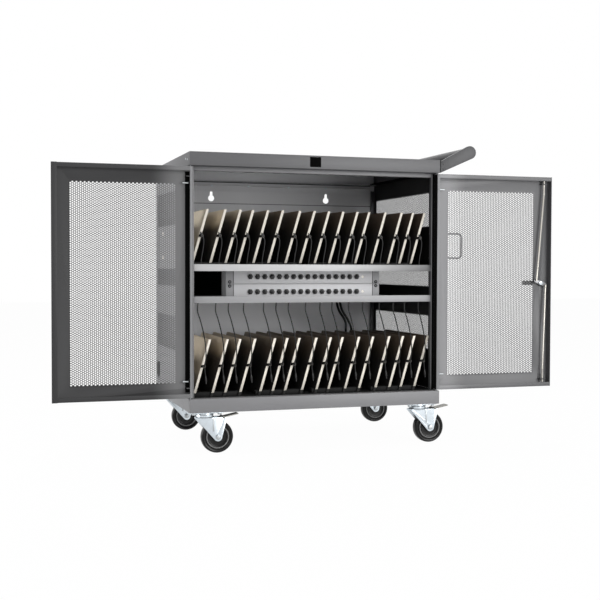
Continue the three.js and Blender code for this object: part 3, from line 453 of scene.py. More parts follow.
def along_z(a, b, c):
    return (a, b, c)


def add_box(bm, low, high):
    outline = ((low[0], low[1]), (high[0], low[1]), (high[0], high[1]), (low[0], high[1]))
    add_prism(bm, outline, along_z, low[2], high[2])


def circle(diameter, centre=(0.0, 0.0), sides=24, start=0.0, sweep=360.0):
    """Points on a circle, or on an arc of sweep degrees with both its ends."""
    whole = abs(sweep - 360.0) < 1e-6
    steps = sides if whole else sides - 1
    turns = [math.radians(start + sweep * i / steps) for i in range(sides)]
    return [(centre[0] + diameter / 2 * math.cos(t), centre[1] + diameter / 2 * math.sin(t)) for t in turns]


def add_lathe(bm, profile, place, steps):
    """A turned solid: closed profile of (radius, along); place(u, v, along) gives x, y, z in mm."""
    rings = []
    for i in range(steps):
        turn = 2 * math.pi * i / steps
        across, up = math.cos(turn), math.sin(turn)
        rings.append([bm.verts.new(Vector(place(r * across, r * up, h)) * MM) for r, h in profile])
    count = len(profile)
    for i in range(steps):
        near, far = rings[i], rings[(i + 1) % steps]
        for k in range(count):
            n = (k + 1) % count
            bm.faces.new((near[k], near[n], far[n], far[k]))


def close_poles(bm):
    """Joins the points of a turned solid that meet on its axis."""
    bmesh.ops.remove_doubles(bm, verts=bm.verts, dist=1e-7)


def block(low, high):
    bm = bmesh.new()
    add_box(bm, low, high)
    return bm


def prism(outline, place, low, high):
    bm = bmesh.new()
    add_prism(bm, outline, place, low, high)
    return bm


def turned(profile, place, steps):
    """A turned solid, closed where its profile meets the axis."""
    bm = bmesh.new()
    add_lathe(bm, profile, place, steps)
    close_poles(bm)
    return bm


def along(start, run):
    """Places a turned solid from a point along a direction."""
    run = Vector(run).normalized()
    side = run.orthogonal().normalized()
    other = run.cross(side)
    return lambda u, v, h: Vector(start) + side * u + other * v + run * h


def smooth_path(points, steps):
    """The centripetal curve through the points that the part's source uses, with steps for each span."""
    nodes = [Vector(p) for p in points]
    nodes = [2 * nodes[0] - nodes[1], *nodes, 2 * nodes[-1] - nodes[-2]]
    path = []
    for p0, p1, p2, p3 in zip(nodes, nodes[1:], nodes[2:], nodes[3:]):
        d0, d1, d2 = ((b - a).length ** 0.5 for a, b in ((p0, p1), (p1, p2), (p2, p3)))
        out = ((p1 - p0) / d0 - (p2 - p0) / (d0 + d1) + (p2 - p1) / d1) * d1
        into = ((p2 - p1) / d1 - (p3 - p1) / (d1 + d2) + (p3 - p2) / d2) * d1
        for i in range(steps):
            t = i / steps
            cubic = (2 * p1 - 2 * p2 + out + into) * t ** 3 + (3 * p2 - 3 * p1 - 2 * out - into) * t ** 2
            path.append(cubic + out * t + p1)
    path.append(nodes[-2])
    return path


def solid_object(name, bm):
    """A linked object from a finished bmesh, its faces pointing outwards."""
    bmesh.ops.recalc_face_normals(bm, faces=bm.faces)
    mesh = bpy.data.meshes.new(name)
    bm.to_mesh(mesh)
    bm.free()
    made = bpy.data.objects.new(name, mesh)
    scene.collection.objects.link(made)
    return made


def bake_modifiers(made):
    """Turns what the modifiers make into the object's own plain mesh."""
    shown = made.evaluated_get(bpy.context.evaluated_depsgraph_get())
    mesh = bpy.data.meshes.new_from_object(shown)
    made.modifiers.clear()
    made.data = mesh
    return made


def soften(made, width):
    """Rounds a piece's edges."""
    bevel = made.modifiers.new("soft_edges", "BEVEL")
    bevel.width = width * MM
    bevel.segments = 2
    bevel.limit_method = "ANGLE"
    bevel.angle_limit = math.radians(ROUNDED_FROM)
    bevel.use_clamp_overlap = True
    return bake_modifiers(made)


def dress(made, finish, body, replaced=()):
    """Gives a piece its finish, its shading and its body, and hides the CAD nodes that it stands for."""
    made.data.materials.clear()
    made.data.materials.append(FINISH[finish])
    made.data.polygons.foreach_set("use_smooth", [True] * len(made.data.polygons))
    made.data.set_sharp_from_angle(angle=math.radians(SHARP_FROM))
    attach(made, body)
    if replaced:
        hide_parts(*replaced)
    return made


def piece(name, bm, finish, body=CABINET, replaced=(), edge=0.0):
    """A finished bmesh as a dressed piece."""
    made = solid_object(name, bm)
    if edge:
        soften(made, edge)
    return dress(made, finish, body, replaced)


def cad_copy(node):
    """A copy of a CAD node's mesh with its triangles joined into flat faces again."""
    bm = bmesh.new()
    bm.from_mesh(frame["nodes"][node].data)
    bmesh.ops.remove_doubles(bm, verts=bm.verts, dist=2e-6)
    bmesh.ops.dissolve_limit(bm, angle_limit=math.radians(0.5), verts=bm.verts, edges=bm.edges)
    return bm


def cut_away(made, cutters):
    """Cuts closed bmeshes out of an object."""
    for i, bm in enumerate(cutters):
        tool = solid_object(f"cutter_{i}", bm)
        trim = made.modifiers.new("cut", "BOOLEAN")
        trim.operation = "DIFFERENCE"
        trim.solver = "EXACT"
        trim.object = tool
        bake_modifiers(made)
        bpy.data.objects.remove(tool)
    return made


def sheet_copy(node, finish, body=CABINET, edge=0.5, windows=()):
    """A CAD node as a softened sheet piece, with windows cut out as (low, high) boxes."""
    made = solid_object(f"{node}_sheet", cad_copy(node))
    cutters = []
    for low, high in windows:
        bm = block(low, high)
        cutters.append(bm)
    cut_away(made, cutters)
    if edge:
        soften(made, edge)
    return dress(made, finish, body, (node,))


# Geometry Nodes

def geometry_graph(name):
    tree = bpy.data.node_groups.new(name, "GeometryNodeTree")
    graph = Graph(tree)
    tree.interface.new_socket("Geometry", in_out="INPUT", socket_type="NodeSocketGeometry")
    tree.interface.new_socket("Geometry", in_out="OUTPUT", socket_type="NodeSocketGeometry")
    graph.entry = tree.nodes.new("NodeGroupInput")
    return graph


def close_graph(graph, geometry, finish):
    """Ends a tree in real meshes with a material."""
    real = graph.node("GeometryNodeRealizeInstances", {}, {"Geometry": geometry})
    coated = graph.node("GeometryNodeSetMaterial", {}, {"Geometry": real, "Material": finish})
    graph.node("NodeGroupOutput", {}, {"Geometry": coated})
    return graph


def perforated_graph():
    """A flat sheet of six-sided holes on a triangular raster, with a plain border out to straight edges."""
    graph = geometry_graph("perforated_sheet")
    columns = graph.input("Columns", "NodeSocketInt")
    rows = graph.input("Rows", "NodeSocketInt")
    pitch = graph.input("Pitch", "NodeSocketFloat")
    web = graph.input("Web", "NodeSocketFloat")
    width = graph.input("Width", "NodeSocketFloat")
    height = graph.input("Height", "NodeSocketFloat")
    finish = graph.input("Finish", "NodeSocketMaterial")
    step = pitch * math.sqrt(0.75)
    reach_x = (columns - 1) * step * 0.5
    reach_y = (rows - 1) * pitch * 0.5
    grid = {"Vertices X": columns, "Vertices Y": rows, "Size X": reach_x * 2, "Size Y": reach_y * 2}
    raster = graph.node("GeometryNodeMeshGrid", {}, grid)
    column = ((graph.node("GeometryNodeInputIndex") + 0.5) / rows).floor()
    shift = (column % 2 - 0.5) * pitch * 0.5
    offset = graph.node("ShaderNodeCombineXYZ", {}, {"Y": shift})
    raster = graph.node("GeometryNodeSetPosition", {}, {"Geometry": raster, "Offset": offset})

    radius = pitch / math.sqrt(3)
    disc = graph.node("GeometryNodeMeshCircle", {"fill_type": "NGON"}, {"Vertices": 6, "Radius": radius})
    raised = graph.node("GeometryNodeExtrudeMesh", {"mode": "FACES"}, {"Mesh": disc, "Offset Scale": 0.0})
    hole = raised["Top"]
    scaled = graph.node(
        "GeometryNodeScaleElements", {"domain": "FACE"},
        {"Geometry": raised, "Selection": hole, "Scale": 1 - web / pitch},
    )
    cell = graph.node(
        "GeometryNodeDeleteGeometry", {"domain": "FACE"}, {"Geometry": scaled, "Selection": hole},
    )
    place = graph.node("GeometryNodeInputPosition")
    spoke = graph.node("ShaderNodeVectorMath", {"operation": "LENGTH"}, {0: place})["Value"]
    cell = graph.node(
        "GeometryNodeStoreNamedAttribute", {"data_type": "FLOAT", "domain": "POINT"},
        {"Geometry": cell, "Name": "rim", "Value": spoke > radius * (1 - web / pitch * 0.5)},
    )
    cells = graph.node("GeometryNodeInstanceOnPoints", {}, {"Points": raster, "Instance": cell})
    cells = graph.node("GeometryNodeRealizeInstances", {}, {"Geometry": cells})
    sheet = graph.node("GeometryNodeMergeByDistance", {}, {"Geometry": cells, "Distance": web * 0.1})

    rim = graph.node("GeometryNodeInputNamedAttribute", {"data_type": "FLOAT"}, {"Name": "rim"})
    faces = graph.node("GeometryNodeInputMeshEdgeNeighbors")
    border = (rim > 0.9) * (faces < 1.5)
    grown = graph.node(
        "GeometryNodeExtrudeMesh", {"mode": "EDGES"},
        {"Mesh": sheet, "Selection": border, "Offset Scale": 0.0},
    )
    spot = graph.node("ShaderNodeSeparateXYZ", {}, {"Vector": graph.node("GeometryNodeInputPosition")})
    x, y = spot["X"], spot["Y"]
    far_x = abs(x) > reach_x + radius * 0.25
    far_y = abs(y) > reach_y
    edge_x = x.sign() * width * 0.5
    edge_y = y.sign() * height * 0.5
    moved = graph.node(
        "ShaderNodeCombineXYZ", {}, {"X": x + (edge_x - x) * far_x, "Y": y + (edge_y - y) * far_y},
    )
    sheet = graph.node(
        "GeometryNodeSetPosition", {}, {"Geometry": grown, "Selection": grown["Top"], "Position": moved},
    )
    sheet = graph.node("GeometryNodeMergeByDistance", {}, {"Geometry": sheet, "Distance": 0.00002})
    return close_graph(graph, sheet, finish)


def row_graph():
    """A straight row of one piece: how many, the first place and the step to the next."""
    graph = geometry_graph("row_of_pieces")
    count = graph.input("Count", "NodeSocketInt")
    first = graph.input("First", "NodeSocketVector")
    step = graph.input("Step", "NodeSocketVector")
    shape = graph.input("Shape", "NodeSocketObject")
    finish = graph.input("Finish", "NodeSocketMaterial")
    line = graph.node(
        "GeometryNodeMeshLine", {"mode": "OFFSET"}, {"Count": count, "Start Location": first, "Offset": step},
    )
    made = graph.node("GeometryNodeObjectInfo", {}, {"Object": shape})["Geometry"]
    row = graph.node("GeometryNodeInstanceOnPoints", {}, {"Points": line, "Instance": made})
    return close_graph(graph, row, finish)


def spread_graph():
    """One piece at each point of the carrier mesh, turned as Turn says."""
    graph = geometry_graph("pieces_on_points")
    shape = graph.input("Shape", "NodeSocketObject")
    turn = graph.input("Turn", "NodeSocketVector")
    finish = graph.input("Finish", "NodeSocketMaterial")
    made = graph.node("GeometryNodeObjectInfo", {}, {"Object": shape})["Geometry"]
    points = Socket(graph, graph.entry.outputs["Geometry"])
    spread = graph.node(
        "GeometryNodeInstanceOnPoints", {}, {"Points": points, "Instance": made, "Rotation": turn},
    )
    return close_graph(graph, spread, finish)


PERFORATED, ROW, SPREAD = perforated_graph(), row_graph(), spread_graph()


def run_graph(name, graph, carrier=(), **inputs):
    """A new object with the plain mesh that a tree makes of its inputs."""
    mesh = bpy.data.meshes.new(name)
    mesh.from_pydata([Vector(p) * MM for p in carrier], [], [])
    made = bpy.data.objects.new(name, mesh)
    scene.collection.objects.link(made)
    nodes = made.modifiers.new("nodes", "NODES")
    nodes.node_group = graph.tree
    for key, value in inputs.items():
        nodes[graph.ids[key]] = value
    return made


def perforated_field(name, width, height, thick, matrix, finish):
    """A perforated sheet of that size with real holes, set in place by a matrix."""
    step = HOLE_PITCH * math.sqrt(0.75)
    columns = int((width - 2 * HOLE_PITCH / math.sqrt(3)) / step) + 1
    rows = int((height - 1.5 * HOLE_PITCH) / HOLE_PITCH) + 1
    made = run_graph(
        name, PERFORATED, Columns=columns, Rows=rows, Pitch=HOLE_PITCH * MM, Web=HOLE_WEB * MM,
        Width=width * MM, Height=height * MM, Finish=FINISH[finish],
    )
    wall = made.modifiers.new("sheet", "SOLIDIFY")
    wall.thickness = thick * MM
    wall.offset = -1
    bake_modifiers(made)
    made.data.transform(matrix)
    return made


def facing(x_axis, y_axis, at):
    """The matrix that lays a flat piece's X and Y along two directions, with its middle at a point in mm."""
    x_axis, y_axis = Vector(x_axis), Vector(y_axis)
    turn = Matrix((x_axis, y_axis, x_axis.cross(y_axis))).transposed().to_4x4()
    return Matrix.Translation(Vector(at) * MM) @ turn


def row_of(name, bm, finish, count, first, step):
    """A straight row of one shape, from its first place by equal steps."""
    shape = solid_object("shape", bm)
    made = run_graph(
        name, ROW, Count=count, First=Vector(first) * MM, Step=Vector(step) * MM, Shape=shape,
        Finish=FINISH[finish],
    )
    bake_modifiers(made)
    bpy.data.objects.remove(shape)
    return dress(made, finish, CABINET)


def spread_on(name, bm, finish, points, turn=(0.0, 0.0, 0.0), replaced=(), edge=0.0):
    """One shape at each of the points, turned by degrees about X, Y and Z."""
    shape = solid_object("shape", bm)
    if edge:
        soften(shape, edge)
    made = run_graph(
        name, SPREAD, points, Shape=shape, Turn=[math.radians(t) for t in turn], Finish=FINISH[finish],
    )
    bake_modifiers(made)
    bpy.data.objects.remove(shape)
    return dress(made, finish, CABINET, replaced)


# Camera, light and floor

def add_camera():
    yaw, pitch, roll = (math.radians(a) for a in (CAMERA_YAW, CAMERA_PITCH, CAMERA_ROLL))
    ahead = Vector((math.sin(yaw) * math.cos(pitch), math.cos(yaw) * math.cos(pitch), -math.sin(pitch)))
    level_right = Vector((math.cos(yaw), -math.sin(yaw), 0))
    level_up = level_right.cross(ahead)
    right = level_right * math.cos(roll) + level_up * math.sin(roll)
    up = level_up * math.cos(roll) - level_right * math.sin(roll)
    lens = bpy.data.cameras.new("camera")
    lens.lens, lens.sensor_width = CAMERA_LENS, SENSOR
    lens.clip_start, lens.clip_end = CAMERA_CLIP
    camera = bpy.data.objects.new("camera", lens)
    camera.matrix_world = Matrix.Translation(CAMERA_AT) @ Matrix((right, up, -ahead)).transposed().to_4x4()
    scene.collection.objects.link(camera)
    scene.camera = camera


# Lamps, in metres and watts: where each stands, what it points at, its size and its power
LAMPS = {
    "key": ((2.3, -4.2, 1.3), (0.0, 0.0, 0.5), (2.4, 2.2), 140),
    "fill": ((-2.6, -4.2, 1.8), (0.0, 0.0, 0.5), (1.6, 1.6), 22),
    "left": ((-3.4, 0.4, 1.1), (-0.4, 0.0, 0.6), (1.6, 1.6), 55),
    "top": ((0.0, -0.4, 3.4), (0.0, 0.0, 0.5), (3.0, 2.4), 40),
    "rear": ((0.4, 3.4, 3.8), (0.0, 0.2, 0.5), (4.0, 2.4), 50),
}
WORLD_LEVEL = 0.3

# Floor, in metres: its size, how far it lies below the wheels, and the share of it that glows white
FLOOR_SIZE, FLOOR_DROP, FLOOR_GLOW = 14.0, 0.0005, 0.975
WHITE, PALE = (1.0, 1.0, 1.0, 1.0), (0.9, 0.9, 0.9, 1.0)


def add_softbox(name, at, towards, size, watts):
    lamp = bpy.data.lights.new(name, "AREA")
    lamp.shape = "RECTANGLE"
    lamp.size, lamp.size_y = size
    lamp.energy = watts
    made = bpy.data.objects.new(name, lamp)
    made.location = at
    made.rotation_mode = "QUATERNION"
    made.rotation_quaternion = (Vector(towards) - Vector(at)).to_track_quat("-Z", "Y")
    scene.collection.objects.link(made)


def background_rays(graph):
    """1 on the rays that show the background: to the camera, in gloss and through glass."""
    path = graph.node("ShaderNodeLightPath")
    return path["Is Camera Ray"] + path["Is Glossy Ray"] + path["Is Transmission Ray"]


def add_floor():
    """A pale floor that looks white to the camera and keeps a soft shadow."""
    bm = bmesh.new()
    bmesh.ops.create_grid(bm, x_segments=1, y_segments=1, size=FLOOR_SIZE)
    floor = solid_object("floor", bm)
    floor.location.z = -FLOOR_DROP
    made, graph, shader, _ = material("pale_floor")
    feed(graph, shader, Base_Color=PALE, Roughness=0.8)
    glow = graph.node("ShaderNodeEmission", {}, {"Color": WHITE, "Strength": 1.0})
    plain = Socket(graph, shader.outputs[0])
    share = background_rays(graph) * FLOOR_GLOW
    both = graph.node("ShaderNodeMixShader", {}, {0: share, 1: plain, 2: glow})
    out = made.node_tree.nodes["Material Output"]
    made.node_tree.links.new(both.out, out.inputs["Surface"])
    floor.data.materials.append(made)


def add_world():
    world = bpy.data.worlds.new("studio")
    world.use_nodes = True
    scene.world = world
    graph = Graph(world.node_tree)
    level = WORLD_LEVEL + (1 - WORLD_LEVEL) * background_rays(graph)
    sky = world.node_tree.nodes["Background"]
    sky.inputs["Color"].default_value = WHITE
    world.node_tree.links.new(level.out, sky.inputs["Strength"])


def set_studio():
    add_camera()
    add_world()
    for name, lamp in LAMPS.items():
        add_softbox(name, *lamp)
    add_floor()


# Cables and cords

# Points in each span of a cable's and a cord's path, and the lengths of the plugs and of the cords' boots
CABLE_STEPS, CORD_STEPS = 10, 6
UPPER_PLUG, LOWER_PLUG = 12.0, 20.0
STRIP_BOOT, INLET_BOOT = 20.0, 28.0


def cord_curve(name, path, diameter):
    line = bpy.data.curves.new(name, "CURVE")
    line.dimensions = "3D"
    line.bevel_depth = diameter / 2 * MM
    line.bevel_resolution = 3
    line.use_fill_caps = True
    spline = line.splines.new("POLY")
    spline.points.add(len(path) - 1)
    for point, spot in zip(spline.points, path):
        point.co = (*(spot * MM), 1.0)
    spline.use_smooth = True
    line.materials.append(FINISH["jacket"])
    made = bpy.data.objects.new(name, line)
    scene.collection.objects.link(made)
    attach(made, CABINET)
    return made


def path_length(path):
    return sum((b - a).length for a, b in zip(path, path[1:])) * MM


def connector(name, end, run, length):
    """A charge plug on a cable's end: a boot, a grip and a bare tip, turned in one."""
    profile = ((0.0, -5.0), (2.1, -5.0), (2.6, 0.0), (3.4, 1.0), (3.4, length * 0.62), (2.6, length * 0.7),
               (1.9, length * 0.7), (1.9, length), (0.0, length))
    return piece(name, turned(profile, along(end, run), 14), "black")


def clip_x(foot):
    return foot + DIVIDER_THICK + DIVIDER_LEAN * CLIP_RISE


def charge_cables(row, feet, route, node, tip):
    """One cable with its plug for each divider of a row."""
    for i, foot in enumerate(feet):
        path = smooth_path([Vector((clip_x(foot) + dx, CABLE_Y, z)) for dx, z in route], CABLE_STEPS)
        line = cord_curve(f"{row}_cable_{i + 1}", path, CABLE_DIAMETER)
        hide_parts(node)
        plug = connector(f"{row}_cable_plug_{i + 1}", path[-1], path[-1] - path[-2], tip)
        path[0] * MM
        path_length(path)


UPPER_FEET = [UPPER_FIRST + SLOT_PITCH * slot for slot in UPPER_SLOTS]
LOWER_FEET = [LOWER_FIRST + SLOT_PITCH * slot for slot in LOWER_SLOTS]

# Grommet strips: half their length and depth, their height, and how far a cable's collar sits in them
GROMMET_HALF, GROMMET_DEEP, GROMMET_HIGH = 386.7, 4.5, 6.0
COLLAR_SINK = 0.5


def grommet_strip(row, low, node):
    """The rubber strip that a row of cables comes out of."""
    near, far = CABLE_Y - GROMMET_DEEP, CABLE_Y + GROMMET_DEEP
    bm = block((-GROMMET_HALF, near, low), (GROMMET_HALF, far, low + GROMMET_HIGH))
    piece(f"{row}_grommet_strip", bm, "rubber", replaced=(node,), edge=1.2)


def add_cables():
    upper_start, lower_start = UPPER_DECK + FIT, LOWER_DECK - WALL_SHEET - FIT - GROMMET_HIGH
    upper_clip, lower_clip = UPPER_DECK + CLIP_RISE, BASE_TOP + CLIP_RISE
    rise = [(UPPER_CABLE_START, upper_start + GROMMET_HIGH / 2)]
    rise += [(dx, upper_clip + dz) for dx, dz in UPPER_CABLE_RISE]
    hang = [(dx, lower_start + dz) for dx, dz in LOWER_CABLE_HANG]
    tail = [(dx, lower_clip + dz) for dx, dz in LOWER_CABLE_TAIL]
    charge_cables("upper", UPPER_FEET, rise, "upper_cables", UPPER_PLUG)
    charge_cables("lower", LOWER_FEET, hang + tail, "lower_cables", LOWER_PLUG)
    grommet_strip("upper", upper_start, "upper_cables")
    grommet_strip("lower", lower_start, "lower_cables")
    collar = ((2.0, -3.0), (4.2, -3.0), (4.2, 1.5), (3.0, 3.0), (2.0, 3.0))
    rows = (
        ("upper", UPPER_FEET, UPPER_CABLE_START, upper_start + GROMMET_HIGH - COLLAR_SINK, 1),
        ("lower", LOWER_FEET, LOWER_CABLE_START, lower_start + COLLAR_SINK, -1),
    )
    for row, feet, dx, z, up in rows:
        bm = turned(collar, lambda u, v, h: (u, v, up * h), 14)
        spread_on(f"{row}_cable_collars", bm, "rubber", [(clip_x(foot) + dx, CABLE_Y, z) for foot in feet])


def cord_boot(name, start, run, length):
    """A tapered, ribbed strain relief on a supply cord."""
    rib = CORD_DIAMETER / 2 + 0.6
    profile = [(CORD_DIAMETER / 2 - 0.1, 0.0), (rib + 2.6, 0.0), (rib + 2.6, 4.0)]
    ribs = 5
    for i in range(ribs):
        share = i / ribs
        wide = rib + 1.8 * (1 - share)
        at = 5.0 + (length - 6.0) * share
        step = (length - 6.0) / ribs
        groove = wide - 0.7
        profile += [(wide, at), (wide, at + step * 0.6)]
        profile += [(groove, at + step * 0.65), (groove, at + step * 0.95)]
    profile += [(rib - 0.3, length), (CORD_DIAMETER / 2 - 0.1, length)]
    return piece(name, turned(profile, along(start, run), 24), "rubber")


def add_supply_cords():
    """The strips' own cords, on the route of the part's source, with a strain relief at each end."""
    start, end = CORD_START_Y, CORD_END_X
    for node, (x, rear, end_z, z) in CORDS.items():
        route = [
            (x, start, z), (x, start + 14, z), (x + 14, start + 30, (z + LOWER_DECK) / 2),
            (x + 16, start + 32, LOWER_DECK), (x + 40, 30, 426), (x + 84, 85, 384), (x + 128, rear - 62, 340),
            (x + 140, rear - 24, 280), (246, rear - 2, end_z + 20), (155.8, rear, end_z),
            (-159.9, rear, end_z - 8), (-299.3, rear - 2, end_z - 4), (end + 30, INLET_Y, end_z),
            (end, INLET_Y, end_z),
        ]
        path = smooth_path(route, CORD_STEPS)
        line = cord_curve(f"{node}_line", path, CORD_DIAMETER)
        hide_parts(node)
        boots = [
            cord_boot(f"{node}_strip_boot", route[0], (0, 1, 0), STRIP_BOOT),
            cord_boot(f"{node}_inlet_boot", route[-1], (1, 0, 0), INLET_BOOT),
        ]
        path[0] * MM
        path_length(path)


# Cabinet

def screw_head(diameter, high):
    """A pan head, its top along +Z."""
    r = diameter / 2
    crown = ((r, high * 0.45), (r * 0.8, high * 0.85), (r * 0.45, high))
    return turned(((0.0, -0.6), (r, -0.6), *crown, (0.0, high)), along_z, 16)


# Turns that point a screw's head out of a face (degrees)
TO_FRONT, TO_REAR = (90.0, 0.0, 0.0), (-90.0, 0.0, 0.0)
TO_LEFT, TO_RIGHT = (0.0, -90.0, 0.0), (0.0, 90.0, 0.0)

# Linings, sheets of painted light and painted shade: thickness, gap to the sheet behind, half their width on
# the back wall and between the walls
LINING, LINING_GAP = 0.6, 0.05
BACK_LINING_HALF, INNER_HALF = 405.0, 404.0
LID_RETURN = 31.0

# Back wall: creases, keyholes and the posts in its corners
CREASE_LEVELS, CREASE_HALF = (871.5, 856.3, 796.5), 390.0
CREASE_SECTION = ((-1.1, -1.2), (-0.5, 0.0), (0.5, 0.0), (1.1, -1.2))
KEYHOLE_X, KEYHOLE_Z = 215.0, 815.0
KEYHOLE_ROUND, KEYHOLE_SLOT, KEYHOLE_RISE, KEYHOLE_EASE = 22.0, 10.0, 19.0, 0.4
POST_WIDTH, POST_DEPTH, POST_SHEET, POST_TOP = 17.0, 9.0, 2.0, 853.0

# Screws: how far a sunk head stands out, and their places across, along or up each face
SUNK_HEAD = 0.3
REAR_RAIL_SCREWS, REAR_RAIL_SCREW_Z = (-217.0, -84.0, 66.0, 208.0), 858.0
BACK_SIDE_SCREWS, BACK_SIDE_LEVELS = (-396.0, 396.0), (190.0, 410.0, 630.0, 850.0)
BACK_ROW_SCREWS, BACK_ROW_LEVELS = (-200.0, 0.0, 200.0), (184.0, 862.0)
WALL_SCREWS, WALL_SCREW_LEVELS = (-235.0, -80.0, 80.0, 235.0), (184.0, 858.0)
RACK_SCREW_Y, RACK_SCREW_LEVELS = 159.5, (602.0, 682.0)
LID_SCREWS = ((-HALF_WIDTH, -226.0, 899.0), (-HALF_WIDTH, -252.0, 895.0))

# Handle: level and half height of the arms' root, middle and radius of their end
ROOT_Z, ROOT_HALF = 893.0, 18.0
GRIP_X, GRIP_Z, ARM_END_RADIUS = 516.0, 944.0, 21.0

# On the right wall, the handle's arms take the place of screws above this level and beyond this distance
ARMS_ABOVE, ARMS_BEYOND = 800.0, 100.0

# Plain plate on the lid's front: left, right, bottom and top
BADGE = (-32.0, 4.0, 880.5, 911.5)


def keyhole_cutter(x):
    """A bar through the back wall with a keyhole's outline, a little wider than the wall's own."""
    round_end = circle(KEYHOLE_ROUND + KEYHOLE_EASE, (x, KEYHOLE_Z), 20, 117, 306)
    slot_end = circle(KEYHOLE_SLOT + KEYHOLE_EASE, (x, KEYHOLE_Z + KEYHOLE_RISE), 9, 0, 180)
    bm = prism(round_end + slot_end, along_y, BACK_INNER - 6, BACK_INNER + 6)
    return bm


def add_back_liner():
    """The back wall's inner sheets, pale as painted light and black between the decks as painted shade, with
    its creases, and the row of screws on the rear rail.
    """
    near, far = BACK_INNER - LINING, BACK_INNER - LINING_GAP
    # Painted light in the lower and upper bays, painted shade between the decks
    bays = (
        ("lower", "low_liner", BASE_TOP + 2, LOWER_DECK - 2),
        ("rack", "seal", LOWER_DECK - 2, UPPER_DECK - 2),
        ("upper", "liner", UPPER_DECK - 2, LID_BOTTOM - 3),
    )
    for name, finish, z0, z1 in bays:
        bm = block((-BACK_LINING_HALF, near, z0), (BACK_LINING_HALF, far, z1))
        made = solid_object(f"{name}_back_liner", bm)
        if name == "upper":
            cut_away(made, [keyhole_cutter(x) for x in (-KEYHOLE_X, KEYHOLE_X)])
        dress(made, finish, CABINET)
    # The lid's rear skirt inside, pale as painted light
    bm = block((-INNER_HALF, BACK - 3.2, LID_BOTTOM + 3), (INNER_HALF, BACK - 2.4, LID_TOP - 3))
    piece("lid_rear_liner", bm, "low_liner", edge=0.2)
    # The creases, in the dark handle paint as painted shade
    bm = bmesh.new()
    add_prism(
        bm, CREASE_SECTION, lambda a, b, c: (c, BACK_INNER - 0.5 + b * 0.2, a), -CREASE_HALF, CREASE_HALF,
    )
    spread_on("back_wall_creases", bm, "handle", [(0.0, 0.0, z) for z in CREASE_LEVELS])
    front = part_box("rear_rail")[0].y / MM
    spots = [(x, front, REAR_RAIL_SCREW_Z) for x in REAR_RAIL_SCREWS]
    spread_on("rear_rail_screws", screw_head(7.0, 2.2), "zinc", spots, TO_FRONT)


def add_lid_linings():
    """Linings on the lid's return flange, pale at the rear as painted light and black at the right as painted
    shade, a dark line at the handle's root and the mat on the base.
    """
    inner, reach = HALF_WIDTH - LID_RETURN, BACK - LID_RETURN
    low, under, lip, top = LID_BOTTOM - 0.25, LID_BOTTOM - LINING_GAP, LID_BOTTOM - 0.2, LID_BOTTOM + 2.1
    bm = bmesh.new()
    add_box(bm, (-inner, reach - LINING, lip), (inner, reach - LINING_GAP, top))
    add_box(bm, (-inner, reach - 0.4, low), (inner, BACK - 5, under))
    piece("lid_rear_flange_lining", bm, "liner")
    bm = bmesh.new()
    add_box(bm, (inner - LINING, -reach, lip), (inner - LINING_GAP, reach, top))
    add_box(bm, (inner - 0.4, -reach, low), (WALL_INNER - 0.2, reach, under))
    piece("lid_right_flange_lining", bm, "seal")
    bm = bmesh.new()
    seam_low = (HALF_WIDTH - 2.2, FRONT - 0.15, LID_BOTTOM + 1.5)
    add_box(bm, seam_low, (HALF_WIDTH + 0.1, FRONT + 1, LID_TOP - 1))
    piece("handle_root_seam", bm, "seal")
    bm = bmesh.new()
    add_box(
        bm, (-INNER_HALF, JAMB_FRONT, BASE_TOP + LINING_GAP), (INNER_HALF, BACK_INNER - 1, BASE_TOP + 0.25),
    )
    piece("base_deck_mat", bm, "rubber")


def add_posts():
    """Folded corner posts between the decks, in the rear corners."""
    spans = ((BASE_TOP + 1, LOWER_DECK - 3), (LOWER_DECK + 1, UPPER_DECK - 3), (UPPER_DECK + 1, POST_TOP))
    for side, name in SIDES:
        x, y = side * (WALL_INNER - 0.4), BACK_INNER - 0.8
        inner = x - side * POST_WIDTH
        fold, front = inner + side * POST_SHEET, y - POST_DEPTH
        outline = (
            (x, y), (inner, y), (inner, front), (fold, front), (fold, y - POST_SHEET), (x, y - POST_SHEET),
        )
        bm = bmesh.new()
        for z0, z1 in spans:
            add_prism(bm, outline, along_z, z0, z1)
        piece(f"{name}_rear_post", bm, "body", edge=0.4)


def add_handle():
    """The push handle: two rounded arms, their screws and the grip tube."""
    slope = math.degrees(math.atan2(GRIP_Z - ROOT_Z, GRIP_X - HALF_WIDTH))
    outline = [(HALF_WIDTH + FIT, ROOT_Z - ROOT_HALF)]
    outline += circle(2 * ARM_END_RADIUS, (GRIP_X, GRIP_Z), 28, slope - 90, 180)
    outline += [(HALF_WIDTH + FIT, ROOT_Z + ROOT_HALF)]
    for node in ("handle_front_arm", "handle_rear_arm"):
        low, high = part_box(node)
        bm = prism(outline, along_y, low.y / MM, high.y / MM)
        piece(f"{node}_plate", bm, "handle", replaced=(node,), edge=1.0)
        front = node == "handle_front_arm"
        y = (low.y if front else high.y) / MM
        spots = [(HALF_WIDTH + 12, y, ROOT_Z + rise) for rise in (-6, 12)]
        spread_on(f"{node}_screws", screw_head(7.0, 1.8), "handle", spots, TO_FRONT if front else TO_REAR)
    low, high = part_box("handle_grip")
    radius, y0, y1 = (high.z - low.z) / 2 / MM, low.y / MM, high.y / MM
    profile = ((0.0, y0), (radius - 1, y0), (radius, y0 + 1), (radius, y1 - 1), (radius - 1, y1), (0.0, y1))
    bm = turned(profile, lambda u, v, h: (GRIP_X + u, h, GRIP_Z + v), 72)
    piece("handle_grip_tube", bm, "handle", replaced=("handle_grip",))


